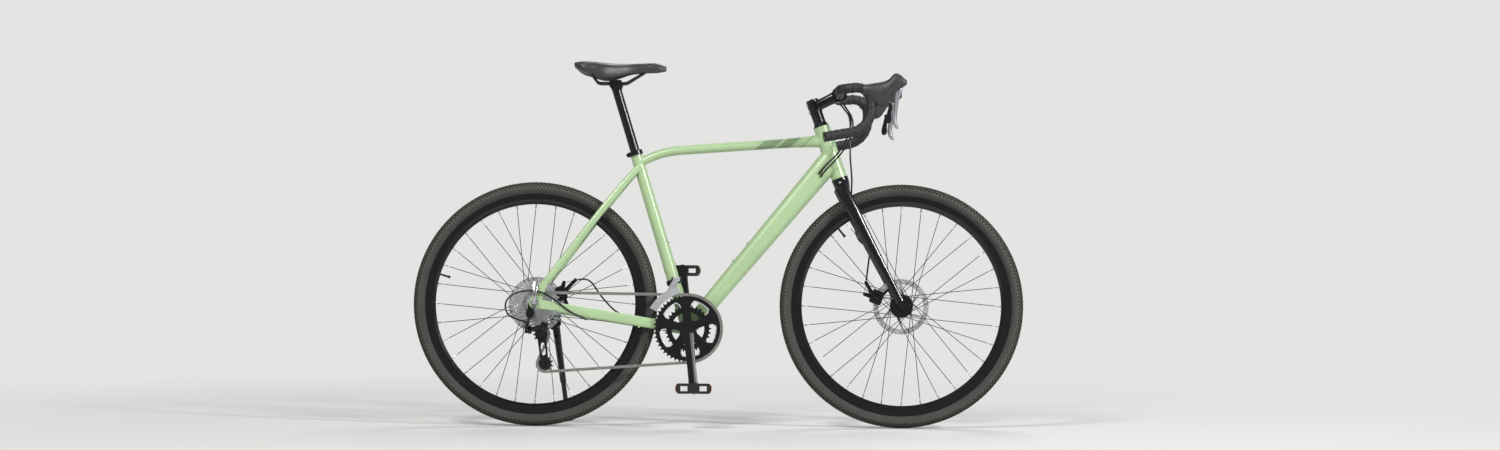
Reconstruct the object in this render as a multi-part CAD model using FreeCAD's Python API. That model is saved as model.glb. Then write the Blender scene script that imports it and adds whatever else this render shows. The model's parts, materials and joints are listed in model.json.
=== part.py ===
import FreeCAD
import Part
import math
import os
from FreeCAD import Vector as V

# Gravel bike standing on its side stand. Millimetres and degrees.
# Bike frame while building: +X forward, +Y to the rider's left, +Z up, upright wheels on z = 0.
# main() then leans the whole bike onto the stand and moves the middle of its footprint to the origin.

# Wheels
BEAD_SEAT_R = 311.0
TYRE_WIDTH = 40.0
TYRE_WALL = 2.6
RIM_DEPTH = 30.0
RIM_WIDTH = 24.0
RIM_INNER_WIDTH = 20.0
RIM_WALL = 2.0
RIM_FLANGE_H = 6.0
SPOKES = 32
SPOKE_CROSSES = 3
SPOKE_R = 1.0
SPOKE_HEAD_R = 1.9
NIPPLE_R = 2.0
NIPPLE_L = 15.0
VALVE_R = 3.0
VALVE_L = 42.0
FLANGE_PITCH_R = 29.0
FLANGE_T = 3.0
HUB_CORE_R = 15.0
BEARING_R = 13.0
BEARING_W = 8.0
ROTOR_R = 80.0
ROTOR_T = 1.8
ROTOR_TRACK = 15.0
ROTOR_BOLT_R = 22.0
FRONT_WIDTH = 100.0
REAR_WIDTH = 135.0
FRONT_AXLE_R = 6.0
REAR_AXLE_R = 5.0
FRONT_ROTOR_GAP = 11.0
REAR_ROTOR_GAP = 15.5
RUNNING_CLEARANCE = 0.05
FACE_GAP = 0.3

# Frame geometry
WHEELBASE = 1053.0
BB_DROP = 70.0
CHAINSTAY_L = 445.0
SEAT_ANGLE = 73.0
HEAD_ANGLE = 70.2
HEAD_TUBE_L = 158.0
FORK_LENGTH = 405.0
FORK_RAKE = 45.0
LOWER_STACK = 5.0
LEAN = 4.5

# Frame tubes
HEAD_TUBE_R = 23.0
HEAD_TUBE_WALL = 3.0
SEAT_TUBE_L = 536.0
SEAT_TUBE_TOP_R = 16.5
SEAT_TUBE_FOOT_R = 19.0
SEATPOST_R = 13.6
TUBE_WALL = 1.8
BB_SHELL_R = 21.0
BB_SHELL_W = 68.0
BB_BORE_R = 17.5
SEAT_SOCKET = 3.0
TOP_TUBE_HALF_W = 17.0
TOP_TUBE_HALF_H = 13.5
TOP_TUBE_HEAD_HALF_H = 19.5
TOP_TUBE_BELOW_TOP = 43.0
TOP_TUBE_SEAT_BELOW_TOP = 38.0
TOP_TUBE_SLOPE = 4.2
TOP_TUBE_BEND_X = 120.0
DOWN_TUBE_HALF_W = 24.0
DOWN_TUBE_FOOT_HALF_H = 23.0
DOWN_TUBE_HEAD_HALF_H = 33.0
DOWN_TUBE_ABOVE_FOOT = 62.0
CHAINSTAY_HALF_W = 6.5
CHAINSTAY_HALF_H = 15.0
CHAINSTAY_END_HALF_H = 12.0
SEATSTAY_HALF_W = 6.5
SEATSTAY_HALF_H = 10.0
DROPOUT_T = 6.0
DROPOUT_R = 16.0
BOTTLE_SPACING = 64.0
EYELET_R = 2.1
EYELET_DEPTH = 8.0
EYELET_FLOOR = 0.8
EYELET_FLATS = 9.0
EYELET_BOSS_R = 6.5
INSERT_FIT = 0.05
BOLT_HEAD_R = 4.2
BOLT_HEAD_H = 3.0
BOLT_SHANK_R = 2.4

# Fork and cockpit
STEERER_R = 14.3
STEERER_WALL = 2.2
UPPER_CUP_H = 10.0
SPACER_STACK = 30.0
STEM_CLAMP_H = 38.0
STEM_L = 80.0
STEM_RISE = 7.0
TOP_CAP_H = 4.0
BAR_CLAMP_R = 15.9
BAR_R = 11.9
BAR_WALL = 2.0
TAPE_T = 2.9
BAR_HALF_WIDTH = 214.0
BAR_REACH = 88.0
BAR_DROP = 139.0
BAR_FLARE = 32.0
BAR_TAIL = 44.0
STEM_FACE_W = 44.0
FORK_EYELET_DOWN = 239.0

# Drivetrain
CHAIN_PITCH = 12.7
ROLLER_R = 3.85
RING_TEETH = 48
INNER_RING_TEETH = 32
RING_T = 2.0
RING_Y = -48.0
INNER_RING_Y = -41.0
RING_BOLT_R = 55.0
SPIDER_ARMS = 5
CASSETTE_TEETH = (11, 13, 15, 17, 19, 21, 23, 26, 30, 34)
CHAIN_SPROCKET = 2
SPROCKET_PITCH = 3.95
SPROCKET_T = 1.7
SPROCKET_FIRST_Y = -62.0
PULLEY_TEETH = 11
CRANK_L = 175.0
CRANK_ANGLE = -84.0
Q_HALF = 75.0
CRANK_T = 13.0
SPINDLE_R = 12.0
PEDAL_W = 82.0
PEDAL_L = 100.0
PEDAL_H = 28.0
PEDAL_AXLE_R = 5.0
CAGE_L = 86.0
CAGE_ANGLE = -80.0

# Seat
SADDLE_L = 266.0
SADDLE_W = 148.0
SADDLE_TOP_Z = 1048.0
RAIL_R = 3.5
RAIL_HALF_GAP = 22.0
POST_INSERT = 160.0

# Side stand
STAND_FOOT_X = 88.0
STAND_FOOT_Y = 250.0
STAND_R = 8.0

# Cables
CABLE_R = 2.5
CABLE_RUN = 42.0

Y = V(0, 1, 0)
TYRE_R = BEAD_SEAT_R + TYRE_WIDTH
REAR_AXLE = V(0, 0, TYRE_R)
FRONT_AXLE = V(WHEELBASE, 0, TYRE_R)
BB = V(math.sqrt(CHAINSTAY_L**2 - BB_DROP**2), 0, TYRE_R - BB_DROP)
STEER = V(-math.cos(math.radians(HEAD_ANGLE)), 0, math.sin(math.radians(HEAD_ANGLE)))
AHEAD = V(STEER.z, 0, -STEER.x)
CROWN = FRONT_AXLE - AHEAD * FORK_RAKE + STEER * math.sqrt(FORK_LENGTH**2 - FORK_RAKE**2)
HEAD_FOOT = CROWN + STEER * LOWER_STACK
HEAD_TOP = HEAD_FOOT + STEER * HEAD_TUBE_L
SEAT = V(-math.cos(math.radians(SEAT_ANGLE)), 0, math.sin(math.radians(SEAT_ANGLE)))
SEAT_TOP = BB + SEAT * SEAT_TUBE_L
STEM_FOOT_S = LOWER_STACK + HEAD_TUBE_L + UPPER_CUP_H + SPACER_STACK
STEM_MID = CROWN + STEER * (STEM_FOOT_S + STEM_CLAMP_H / 2)
STEM_DIR = AHEAD * math.cos(math.radians(STEM_RISE)) + STEER * math.sin(math.radians(STEM_RISE))
BAR = STEM_MID + STEM_DIR * STEM_L
RIM_TOP_R = BEAD_SEAT_R + RIM_FLANGE_H
RIM_BED_R = RIM_TOP_R - RIM_DEPTH
FRONT_ROTOR_Y = FRONT_WIDTH / 2 - FRONT_ROTOR_GAP
REAR_ROTOR_Y = REAR_WIDTH / 2 - REAR_ROTOR_GAP
CRANK_DIR = V(math.cos(math.radians(CRANK_ANGLE)), 0, math.sin(math.radians(CRANK_ANGLE)))
GUIDE_PULLEY = REAR_AXLE + V(20, SPROCKET_FIRST_Y + CHAIN_SPROCKET * SPROCKET_PITCH, -89)
CHAIN_Y = GUIDE_PULLEY.y
SADDLE_TAIL_X = 106.0
RAIL_Z = SADDLE_TOP_Z - 60.0


def unit(vector):
    return V(vector) * (1.0 / vector.Length)


def rod(start, end, radius):
    return Part.makeCylinder(radius, (end - start).Length, start, end - start)


def cone(start, end, start_r, end_r):
    return Part.makeCone(start_r, end_r, (end - start).Length, start, end - start)


def tube(start, end, outer_r, inner_r):
    reach = unit(end - start)
    return rod(start, end, outer_r).cut(rod(start - reach, end + reach, inner_r))


def across(point, y0, y1, radius):
    return rod(V(point.x, y0, point.z), V(point.x, y1, point.z), radius)


def washer(point, y0, y1, outer_r, inner_r):
    return tube(V(point.x, y0, point.z), V(point.x, y1, point.z), outer_r, inner_r)


def block(x0, x1, y0, y1, z0, z1):
    return Part.makeBox(x1 - x0, y1 - y0, z1 - z0, V(x0, y0, z0))


def fused(shapes):
    whole = shapes[0]
    if len(shapes) > 1:
        whole = shapes[0].multiFuse(shapes[1:])
    return whole.removeSplitter()


def group(shapes):
    return Part.makeCompound(shapes)


def cut_each(body, cuts):
    for tool in cuts:
        body = body.cut(tool)
    return body


def largest(shape):
    return max(shape.Solids, key=lambda solid: solid.Volume)


def mirrored(shape):
    return shape.mirror(V(0, 0, 0), Y)


def bend_path(points, radii):
    # Straight runs joined by arcs of the given radii
    edges = []
    start = points[0]
    for index in range(1, len(points) - 1):
        back = unit(points[index - 1] - points[index])
        onward = unit(points[index + 1] - points[index])
        half = back.getAngle(onward) / 2
        radius = radii[index - 1]
        reach = radius / math.tan(half)
        first = points[index] + back * reach
        last = points[index] + onward * reach
        middle = points[index] + unit(back + onward) * (radius / math.sin(half) - radius)
        edges.append(Part.makeLine(start, first))
        edges.append(Part.Arc(first, middle, last).toShape())
        start = last
    edges.append(Part.makeLine(start, points[-1]))
    return Part.Wire(edges)


def pipe(points, radii, radius):
    path = bend_path(points, radii)
    section = Part.Wire(Part.makeCircle(radius, points[0], points[1] - points[0]))
    return path.makePipeShell([section], True, False)


def hose(points, radius):
    # Even runs along a smooth line through the points, joined by arcs as large as the runs allow
    curve = Part.BSplineCurve()
    curve.interpolate(points)
    route = curve.discretize(max(4, int(curve.length() / CABLE_RUN) + 2))
    radii = []
    for index in range(1, len(route) - 1):
        back = route[index - 1] - route[index]
        onward = route[index + 1] - route[index]
        turn = max(math.pi - back.getAngle(onward), math.radians(0.3))
        radii.append(0.45 * min(back.Length, onward.Length) / math.tan(turn / 2))
    print("cable length", round(curve.length()), "least bend radius", round(min(radii), 1))
    return pipe(route, radii, radius)


def oval(center, wide, tall, half_w, half_h, power=2.0):
    points = []
    for step in range(16):
        turn = 2 * math.pi * step / 16
        c = math.cos(turn)
        s = math.sin(turn)
        along = half_w * math.copysign(abs(c) ** (2 / power), c)
        up = half_h * math.copysign(abs(s) ** (2 / power), s)
        points.append(center + wide * along + tall * up)
    curve = Part.BSplineCurve()
    curve.interpolate(points, PeriodicFlag=True)
    return Part.Wire(curve.toShape())


def loft(sections):
    return Part.makeLoft(sections, True, False)


def swept(stations, power=2.0):
    # Stations are (center, direction, half width along Y, half height), the section square to the direction
    sections = []
    for center, direction, half_w, half_h in stations:
        tall = unit(direction.cross(Y))
        wide = unit(tall.cross(direction))
        sections.append(oval(center, wide, tall, half_w, half_h, power))
    return loft(sections)


def hollow_sweep(stations, wall, power=2.0):
    inside = [(c, d, w - wall, h - wall) for c, d, w, h in stations]
    return swept(stations, power).cut(swept(inside, power))


def polygon_face(points):
    return Part.Face(Part.makePolygon(points + [points[0]]))


def prism(points, y0, y1):
    # Outline given as (x, z) pairs, drawn out along Y
    face = polygon_face([V(x, y0, z) for x, z in points])
    return face.extrude(V(0, y1 - y0, 0))


def rounded_prism(points, radius, y0, y1):
    corners = [V(x, y0, z) for x, z in points]
    count = len(corners)
    loop = [(corners[-1] + corners[0]) * 0.5] + corners + [(corners[-1] + corners[0]) * 0.5]
    wire = bend_path(loop, [radius] * count)
    return Part.Face(wire).extrude(V(0, y1 - y0, 0))


def stadium(a, b, radius_a, radius_b, y0, y1):
    # Two round ends joined by their outer tangents, drawn out along Y
    reach = V(b.x - a.x, 0, b.z - a.z)
    slant = math.acos((radius_a - radius_b) / reach.Length)
    base = math.atan2(reach.z, reach.x)
    outline = []
    for angle in (base + slant, base - slant):
        normal = V(math.cos(angle), 0, math.sin(angle))
        outline.append((V(a.x, 0, a.z) + normal * radius_a, V(b.x, 0, b.z) + normal * radius_b))
    corners = [outline[0][0], outline[0][1], outline[1][1], outline[1][0]]
    web = prism([(p.x, p.z) for p in corners], y0, y1)
    return fused([web, across(a, y0, y1, radius_a), across(b, y0, y1, radius_b)])


def spun(profile, center):
    # Profile given as (radius, y) pairs, turned round the wheel axis through the center
    face = polygon_face([center + V(r, y, 0) for r, y in profile])
    return face.revolve(center, Y, 360)


def around(center, angle, radius, y=0.0):
    turn = math.radians(angle)
    return V(center.x + radius * math.cos(turn), y, center.z + radius * math.sin(turn))


def pitch_radius(teeth):
    return CHAIN_PITCH / (2 * math.sin(math.pi / teeth))


def toothed(center, teeth, phase, y0, y1, tip_h=2.9):
    # Rollers sit at the phase angle and every pitch after it
    radius = pitch_radius(teeth)
    seat_r = ROLLER_R + 0.2
    half_top = 0.8 / radius
    outline = []
    for index in range(teeth):
        turn = math.radians(phase) + 2 * math.pi * index / teeth
        seat_x = center.x + radius * math.cos(turn)
        seat_z = center.z + radius * math.sin(turn)
        for step in (-62, -31, 0, 31, 62):
            lean = turn + math.pi - math.radians(step)
            outline.append((seat_x + seat_r * math.cos(lean), seat_z + seat_r * math.sin(lean)))
        tip = turn + math.pi / teeth
        for side in (-1, 1):
            angle = tip + side * half_top
            reach = radius + tip_h
            outline.append((center.x + reach * math.cos(angle), center.z + reach * math.sin(angle)))
    return prism(outline, y0, y1)


# Wheels

def make_tyre(center):
    core_r = BEAD_SEAT_R + TYRE_WIDTH / 2
    outer = TYRE_WIDTH / 2
    inner = outer - TYRE_WALL
    edge_r = RIM_TOP_R + 1.0
    edge_y = math.sqrt(outer**2 - (core_r - edge_r) ** 2)
    bead_y = RIM_INNER_WIDTH / 2 - 0.1
    lip_y = bead_y - TYRE_WALL
    foot_r = BEAD_SEAT_R + 0.2
    floor_r = edge_r + 1.4
    side_r = edge_r + TYRE_WALL + 0.6
    side_y = math.sqrt(inner**2 - (core_r - side_r) ** 2)

    def at(r, y):
        return center + V(r, y, 0)

    outside = Part.Arc(at(edge_r, edge_y), at(core_r + outer, 0), at(edge_r, -edge_y)).toShape()
    inside = Part.Arc(at(side_r, -side_y), at(core_r + inner, 0), at(side_r, side_y)).toShape()
    right = Part.makePolygon([at(edge_r, -edge_y), at(edge_r, -bead_y), at(foot_r, -bead_y),
                              at(foot_r, -lip_y), at(floor_r, -lip_y), at(side_r, -side_y)])
    left = Part.makePolygon([at(side_r, side_y), at(floor_r, lip_y), at(foot_r, lip_y),
                             at(foot_r, bead_y),
                             at(edge_r, bead_y), at(edge_r, edge_y)])
    wire = Part.Wire([outside] + right.Edges + [inside] + left.Edges)
    return Part.Face(wire).revolve(center, Y, 360)


def spoke_lines(center, left_y, right_y):
    # Hub end, rim end, flange middle and which side of the flange the spoke leaves on
    lines = []
    per_side = SPOKES // 2
    swing = 360.0 * SPOKE_CROSSES / per_side
    for side, flange_y, offset in ((1, left_y, 360.0 / SPOKES), (-1, right_y, 0.0)):
        for index in range(per_side):
            hole = offset + 360.0 * index / per_side
            way = 1 if index % 2 == 0 else -1
            bow = 1.4 if way == side else RUNNING_CLEARANCE
            face_y = flange_y + way * (FLANGE_T / 2 + SPOKE_R + bow)
            hub_end = around(center, hole, FLANGE_PITCH_R, face_y)
            rim_end = around(center, hole + way * swing, RIM_BED_R + 4.0, side * 2.5)
            lines.append((hub_end, rim_end, flange_y, way))
    return lines


def make_spokes(lines):
    pieces = []
    for hub_end, rim_end, flange_y, way in lines:
        reach = unit(rim_end - hub_end)
        nipple_foot = rim_end - reach * NIPPLE_L
        far = flange_y - way * (FLANGE_T / 2 + RUNNING_CLEARANCE)
        elbow = across(hub_end, hub_end.y + way * 1.1, far, SPOKE_R + 0.15)
        head = across(hub_end, far, far - way * 1.2, SPOKE_HEAD_R)
        pieces.append(fused([rod(hub_end, nipple_foot, SPOKE_R), elbow, head]))
        pieces.append(rod(nipple_foot, rim_end, NIPPLE_R))
    return group(pieces)


def make_rim(center, lines, valve_angle):
    half = RIM_WIDTH / 2
    seat = RIM_INNER_WIDTH / 2
    side = [(RIM_BED_R, 5.0), (RIM_BED_R + 7.5, half - 1.0), (RIM_BED_R + 13.5, half), (RIM_TOP_R, half),
            (RIM_TOP_R, seat), (BEAD_SEAT_R, seat), (BEAD_SEAT_R, seat - 3.0),
            (BEAD_SEAT_R - RIM_WALL, seat - 3.0), (BEAD_SEAT_R - RIM_WALL, half - RIM_WALL),
            (RIM_BED_R + 13.0, half - RIM_WALL), (RIM_BED_R + 9.0, half - 1.0 - RIM_WALL),
            (RIM_BED_R + 2.5, 4.0)]
    rim = spun(side + [(r, -y) for r, y in reversed(side)], center)
    holes = []
    for hub_end, rim_end, flange_y, way in lines:
        reach = unit(rim_end - hub_end)
        holes.append(rod(rim_end - reach * NIPPLE_L, rim_end + reach * 2, NIPPLE_R + 0.1))
    outer_end = around(center, valve_angle, BEAD_SEAT_R - 4.0)
    inner_end = around(center, valve_angle, BEAD_SEAT_R - 4.0 - VALVE_L)
    cap_end = around(center, valve_angle, BEAD_SEAT_R - 4.0 - VALVE_L - 8.0)
    holes.append(rod(inner_end, outer_end, VALVE_R))
    valve = fused([rod(inner_end, outer_end, VALVE_R), rod(cap_end, inner_end, VALVE_R + 0.8)])
    return group([rim.cut(group(holes)), valve])


def make_hub(center, left_y, right_y, left_end, right_end, axle_r, rotor_y):
    # Shell with two spoke flanges and the rotor seat on the left, and a bearing at each end
    flange_r = FLANGE_PITCH_R + 4.0
    half = FLANGE_T / 2
    seat_y = rotor_y - ROTOR_T / 2
    nose = BEARING_R + 2.5
    bore = BEARING_R - 3.0
    profile = [(BEARING_R, left_end), (nose, left_end), (nose, seat_y), (ROTOR_BOLT_R + 4.0, seat_y),
               (ROTOR_BOLT_R + 4.0, seat_y - 4.0), (HUB_CORE_R, seat_y - 5.0),
               (HUB_CORE_R, left_y + half),
               (flange_r, left_y + half), (flange_r, left_y - half), (HUB_CORE_R, left_y - half),
               (HUB_CORE_R, right_y + half), (flange_r, right_y + half), (flange_r, right_y - half),
               (nose, right_y - half), (nose, right_end), (BEARING_R, right_end),
               (BEARING_R, right_end + BEARING_W), (bore, right_end + BEARING_W),
               (bore, left_end - BEARING_W), (BEARING_R, left_end - BEARING_W)]
    shell = spun(profile, center)
    holes = []
    for hub_end, rim_end, flange_y, way in spoke_lines(center, left_y, right_y):
        holes.append(across(hub_end, flange_y - FLANGE_T, flange_y + FLANGE_T, SPOKE_R + 0.25))
    bearings = []
    for y0, y1 in ((left_end - BEARING_W, left_end), (right_end, right_end + BEARING_W)):
        bearings.append(washer(center, y0, y1, BEARING_R, axle_r + RUNNING_CLEARANCE))
    return group([shell.cut(group(holes))] + bearings)


def make_rotor(center, y):
    y0 = y - ROTOR_T / 2
    y1 = y + ROTOR_T / 2
    pieces = [washer(center, y0, y1, ROTOR_R, ROTOR_R - ROTOR_TRACK),
              washer(center, y0, y1, ROTOR_BOLT_R + 5.0, BEARING_R + 2.6)]
    for index in range(6):
        inner = around(center, 60 * index, ROTOR_BOLT_R + 1.0)
        outer = around(center, 60 * index + 35, ROTOR_R - ROTOR_TRACK + 3.0)
        pieces.append(stadium(inner, outer, 3.6, 3.0, y0, y1))
    holes = []
    for index in range(30):
        depth = (4.0, 7.5, 11.0)[index % 3]
        holes.append(across(around(center, 12 * index, ROTOR_R - depth), y0 - 1, y1 + 1, 1.8))
    rotor = fused(pieces).cut(group(holes))
    bolts = [across(around(center, 60 * index + 30, ROTOR_BOLT_R), y1, y1 + 1.8, 4.0)
             for index in range(6)]
    return group([rotor] + bolts)


def make_front_axle():
    half = FRONT_WIDTH / 2
    # Axle through both fork ends, with a head on the left and a spacer against each fork end
    shaft = across(FRONT_AXLE, -half - 13, half + 12.5, FRONT_AXLE_R)
    head = across(FRONT_AXLE, half + 12.5, half + 17, 9.0)
    spacers = [washer(FRONT_AXLE, half - 7, half, 9.0, FRONT_AXLE_R),
               washer(FRONT_AXLE, -half, -half + 7, 9.0, FRONT_AXLE_R)]
    return group([fused([shaft, head])] + spacers)


def make_rear_skewer():
    half = REAR_WIDTH / 2
    face = half + DROPOUT_T
    axle = washer(REAR_AXLE, -face + 0.5, face - 0.5, REAR_AXLE_R, 2.6)
    left_nut = washer(REAR_AXLE, half - 7, half, 8.5, REAR_AXLE_R)
    right_nut = washer(REAR_AXLE, -half, -half + 1.6, 8.5, REAR_AXLE_R)
    shaft = across(REAR_AXLE, -face, face + 8, 2.5)
    cap = washer(REAR_AXLE, face, face + 9, 10.0, 2.5)
    seat = across(REAR_AXLE, -face, -face - 4, 10.0)
    cheeks = []
    for x0, x1 in ((-10.0, -7.0), (7.0, 10.0)):
        cheeks.append(block(x0, x1, -face - 16, -face - 3, TYRE_R - 6, TYRE_R + 6))
    pin = rod(LEVER_PIVOT - V(10, 0, 0), LEVER_PIVOT + V(10, 0, 0), 2.5)
    return group([axle, left_nut, right_nut, cap, fused([shaft, seat] + cheeks + [pin])])


LEVER_PIVOT = V(0, -REAR_WIDTH / 2 - DROPOUT_T - 10.5, TYRE_R)


def make_skewer_lever():
    barrel = rod(LEVER_PIVOT - V(6.7, 0, 0), LEVER_PIVOT + V(6.7, 0, 0), 6.0)
    bore = rod(LEVER_PIVOT - V(10, 0, 0), LEVER_PIVOT + V(10, 0, 0), 2.5 + RUNNING_CLEARANCE)
    side = V(1, 0, 0)
    sections = []
    for height, out, half_w, half_t in ((0, 0, 5.0, 3.6), (18, -4, 5.0, 3.2), (36, -3, 7.0, 2.6),
                                        (52, 2, 8.0, 2.2),
                                        (60, 4, 4.0, 1.5)):
        center = LEVER_PIVOT + V(2.0 * height / 60, out, height)
        sections.append(oval(center, side, Y, half_w, half_t))
    return fused([barrel, loft(sections)]).cut(bore)


# Frame tubes

def seat_tube_outer():
    return cone(BB, SEAT_TOP, SEAT_TUBE_FOOT_R, SEAT_TUBE_TOP_R)


def seat_socket():
    # Half space below the flat joint between the seat tube and the socket on the shell
    joint = BB + SEAT * (BB_SHELL_R + SEAT_SOCKET)
    return rod(joint - SEAT * 80, joint, 60.0)


def head_tube_outer():
    return rod(HEAD_FOOT, HEAD_TOP, HEAD_TUBE_R)


def bb_outer():
    return across(BB, -BB_SHELL_W / 2, BB_SHELL_W / 2, BB_SHELL_R)


def make_head_tube():
    return tube(HEAD_FOOT, HEAD_TOP, HEAD_TUBE_R, HEAD_TUBE_R - HEAD_TUBE_WALL)


def make_bb_shell():
    socket = seat_tube_outer().common(seat_socket())
    return fused([bb_outer(), socket]).cut(across(BB, -BB_SHELL_W, BB_SHELL_W, BB_BORE_R))


def seat_bolts():
    bolts = []
    ahead = V(SEAT.z, 0, -SEAT.x)
    for along in (194.0, 194.0 + BOTTLE_SPACING):
        skin = SEAT_TUBE_FOOT_R + (SEAT_TUBE_TOP_R - SEAT_TUBE_FOOT_R) * along / SEAT_TUBE_L
        bolts.append((BB + SEAT * along + ahead * skin, ahead))
    return bolts


def make_seat_tube():
    step = SEAT_TOP - SEAT * (POST_INSERT + 10)
    fall = (SEAT_TUBE_FOOT_R - SEAT_TUBE_TOP_R) / SEAT_TUBE_L
    step_r = SEAT_TUBE_TOP_R + fall * (POST_INSERT + 10)
    lower = cone(BB - SEAT * 5, step, SEAT_TUBE_FOOT_R - TUBE_WALL, step_r - TUBE_WALL)
    upper = rod(step - SEAT, SEAT_TOP + SEAT, SEATPOST_R + RUNNING_CLEARANCE)
    shanks = [rod(p - d * 6, p + d, BOLT_SHANK_R) for p, d in seat_bolts()]
    return seat_tube_outer().cut(fused([lower, upper])).cut(seat_socket()).cut(group(shanks))


def top_tube_stations():
    foot = SEAT_TOP - SEAT * TOP_TUBE_SEAT_BELOW_TOP
    head = HEAD_TOP - STEER * TOP_TUBE_BELOW_TOP
    slope = math.tan(math.radians(TOP_TUBE_SLOPE))
    fall = head.z - slope * (head.x - foot.x) - foot.z
    bend_end = foot.x + TOP_TUBE_BEND_X

    def middle(x):
        part = max(0.0, (bend_end - x) / TOP_TUBE_BEND_X)
        return V(x, 0, head.z - slope * (head.x - x) - fall * part**2)

    span = head.x - foot.x
    stations = []
    for part in (0.0, 0.05, 0.11, 0.18, 0.26, 0.40, 0.60, 0.76, 0.86, 0.93, 1.0):
        x = foot.x + span * part
        direction = unit(middle(x + 1) - middle(x - 1))
        grow = max(0.0, (part - 0.76) / 0.24)
        seat_end = max(0.0, 1.0 - part / 0.18)
        half_h = TOP_TUBE_HALF_H + (TOP_TUBE_HEAD_HALF_H - TOP_TUBE_HALF_H) * grow**1.5 - 1.5 * seat_end
        half_w = TOP_TUBE_HALF_W - 3.0 * seat_end
        stations.append((middle(x), direction, half_w, half_h))
    return stations


def down_tube_stations():
    head = HEAD_FOOT + STEER * DOWN_TUBE_ABOVE_FOOT
    direction = unit(head - BB)
    length = (head - BB).Length
    stations = []
    for part in (0.0, 0.25, 0.5, 0.75, 0.9, 1.0):
        half_h = DOWN_TUBE_FOOT_HALF_H + (DOWN_TUBE_HEAD_HALF_H - DOWN_TUBE_FOOT_HALF_H) * part
        half_w = DOWN_TUBE_HALF_W - 3.0 * abs(part - 0.5)
        stations.append((BB + direction * (length * part), direction, half_w, half_h))
    return stations


def down_bolts():
    head = HEAD_FOOT + STEER * DOWN_TUBE_ABOVE_FOOT
    direction = unit(head - BB)
    up = V(-direction.z, 0, direction.x)
    length = (head - BB).Length
    bolts = []
    for along in (235.0, 235.0 + BOTTLE_SPACING):
        grow = (DOWN_TUBE_HEAD_HALF_H - DOWN_TUBE_FOOT_HALF_H) * along / length
        bolts.append((BB + direction * along + up * (DOWN_TUBE_FOOT_HALF_H + grow), up))
    return bolts


def make_top_tube():
    return hollow_sweep(top_tube_stations(), TUBE_WALL).cut(seat_tube_outer()).cut(head_tube_outer())


def make_down_tube():
    body = hollow_sweep(down_tube_stations(), TUBE_WALL, 2.3)
    shanks = [rod(p - d * 6, p + d, BOLT_SHANK_R) for p, d in down_bolts()]
    body = body.cut(head_tube_outer()).cut(bb_outer()).cut(seat_tube_outer())
    return body.cut(swept(top_tube_stations())).cut(group(shanks))


def stay_line_z(x):
    return TYRE_R - 2.0 - BB_DROP * x / BB.x


def dropout_solid(side):
    inner = side * REAR_WIDTH / 2
    outer = side * (REAR_WIDTH / 2 + DROPOUT_T)
    y0 = min(inner, outer)
    y1 = max(inner, outer)
    pieces = [stadium(REAR_AXLE, V(62, 0, stay_line_z(62)), DROPOUT_R, 9.0, y0, y1),
              stadium(REAR_AXLE, seatstay_points()[0] + V(24, 0, 32), DROPOUT_R, 7.0, y0, y1)]
    slot = fused([across(REAR_AXLE, y0 - 1, y1 + 1, REAR_AXLE_R),
                  block(-REAR_AXLE_R, REAR_AXLE_R, y0 - 1, y1 + 1, TYRE_R - 40, TYRE_R)])
    return fused(pieces).cut(slot)


def make_dropouts():
    return group([dropout_solid(1), dropout_solid(-1)])


def chainstay_stations():
    points = ((26.0, 69.0), (60.0, 67.0), (98.0, 62.5), (170.0, 47.5), (260.0, 36.0), (350.0, 30.5),
              (424.0, 24.0))
    scale = BB.x / 439.46
    stations = []
    for index, (x, y) in enumerate(points):
        part = index / (len(points) - 1)
        half_h = CHAINSTAY_END_HALF_H + (CHAINSTAY_HALF_H - CHAINSTAY_END_HALF_H) * min(1.0, 2 * part)
        stations.append((V(x * scale, y, stay_line_z(x * scale)), V(1, 0, 0), CHAINSTAY_HALF_W, half_h))
    return stations


def chainstay_solid():
    return hollow_sweep(chainstay_stations(), TUBE_WALL, 2.6)


def make_chainstays():
    left = largest(chainstay_solid().cut(dropout_solid(1)).cut(bb_outer()).cut(seat_tube_outer()))
    return group([left, mirrored(left)])


def seatstay_points():
    top = SEAT_TOP - SEAT * 47.0
    foot = REAR_AXLE + V(9, REAR_WIDTH / 2 + DROPOUT_T - SEATSTAY_HALF_W - 0.5, 33)
    reach = top - REAR_AXLE
    return [foot, REAR_AXLE + reach * 0.32 + V(-5, 57, 10), REAR_AXLE + reach * 0.74 + V(-5, 36.5, 6),
            top + V(0, 13, 0)]


def make_seatstays():
    points = seatstay_points()
    curve = Part.BSplineCurve()
    curve.interpolate(points)
    first = curve.FirstParameter
    last = curve.LastParameter
    stations = []
    for part in (0.0, 0.2, 0.4, 0.6, 0.8, 1.0):
        at = first + (last - first) * part
        stations.append((curve.value(at), curve.tangent(at)[0], SEATSTAY_HALF_W, SEATSTAY_HALF_H))
    core = swept(stations)
    left = largest(core.cut(dropout_solid(1)).cut(seat_tube_outer()))
    pieces = [left, mirrored(left)]
    # Bridge between the stays above the tyre
    at = first + (last - first) * 0.80
    middle = curve.value(at)
    rail = rod(V(middle.x, -middle.y, middle.z), V(middle.x, middle.y, middle.z), 7.0)
    pieces.append(rail.cut(core).cut(mirrored(core)))
    return group(pieces)


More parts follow.
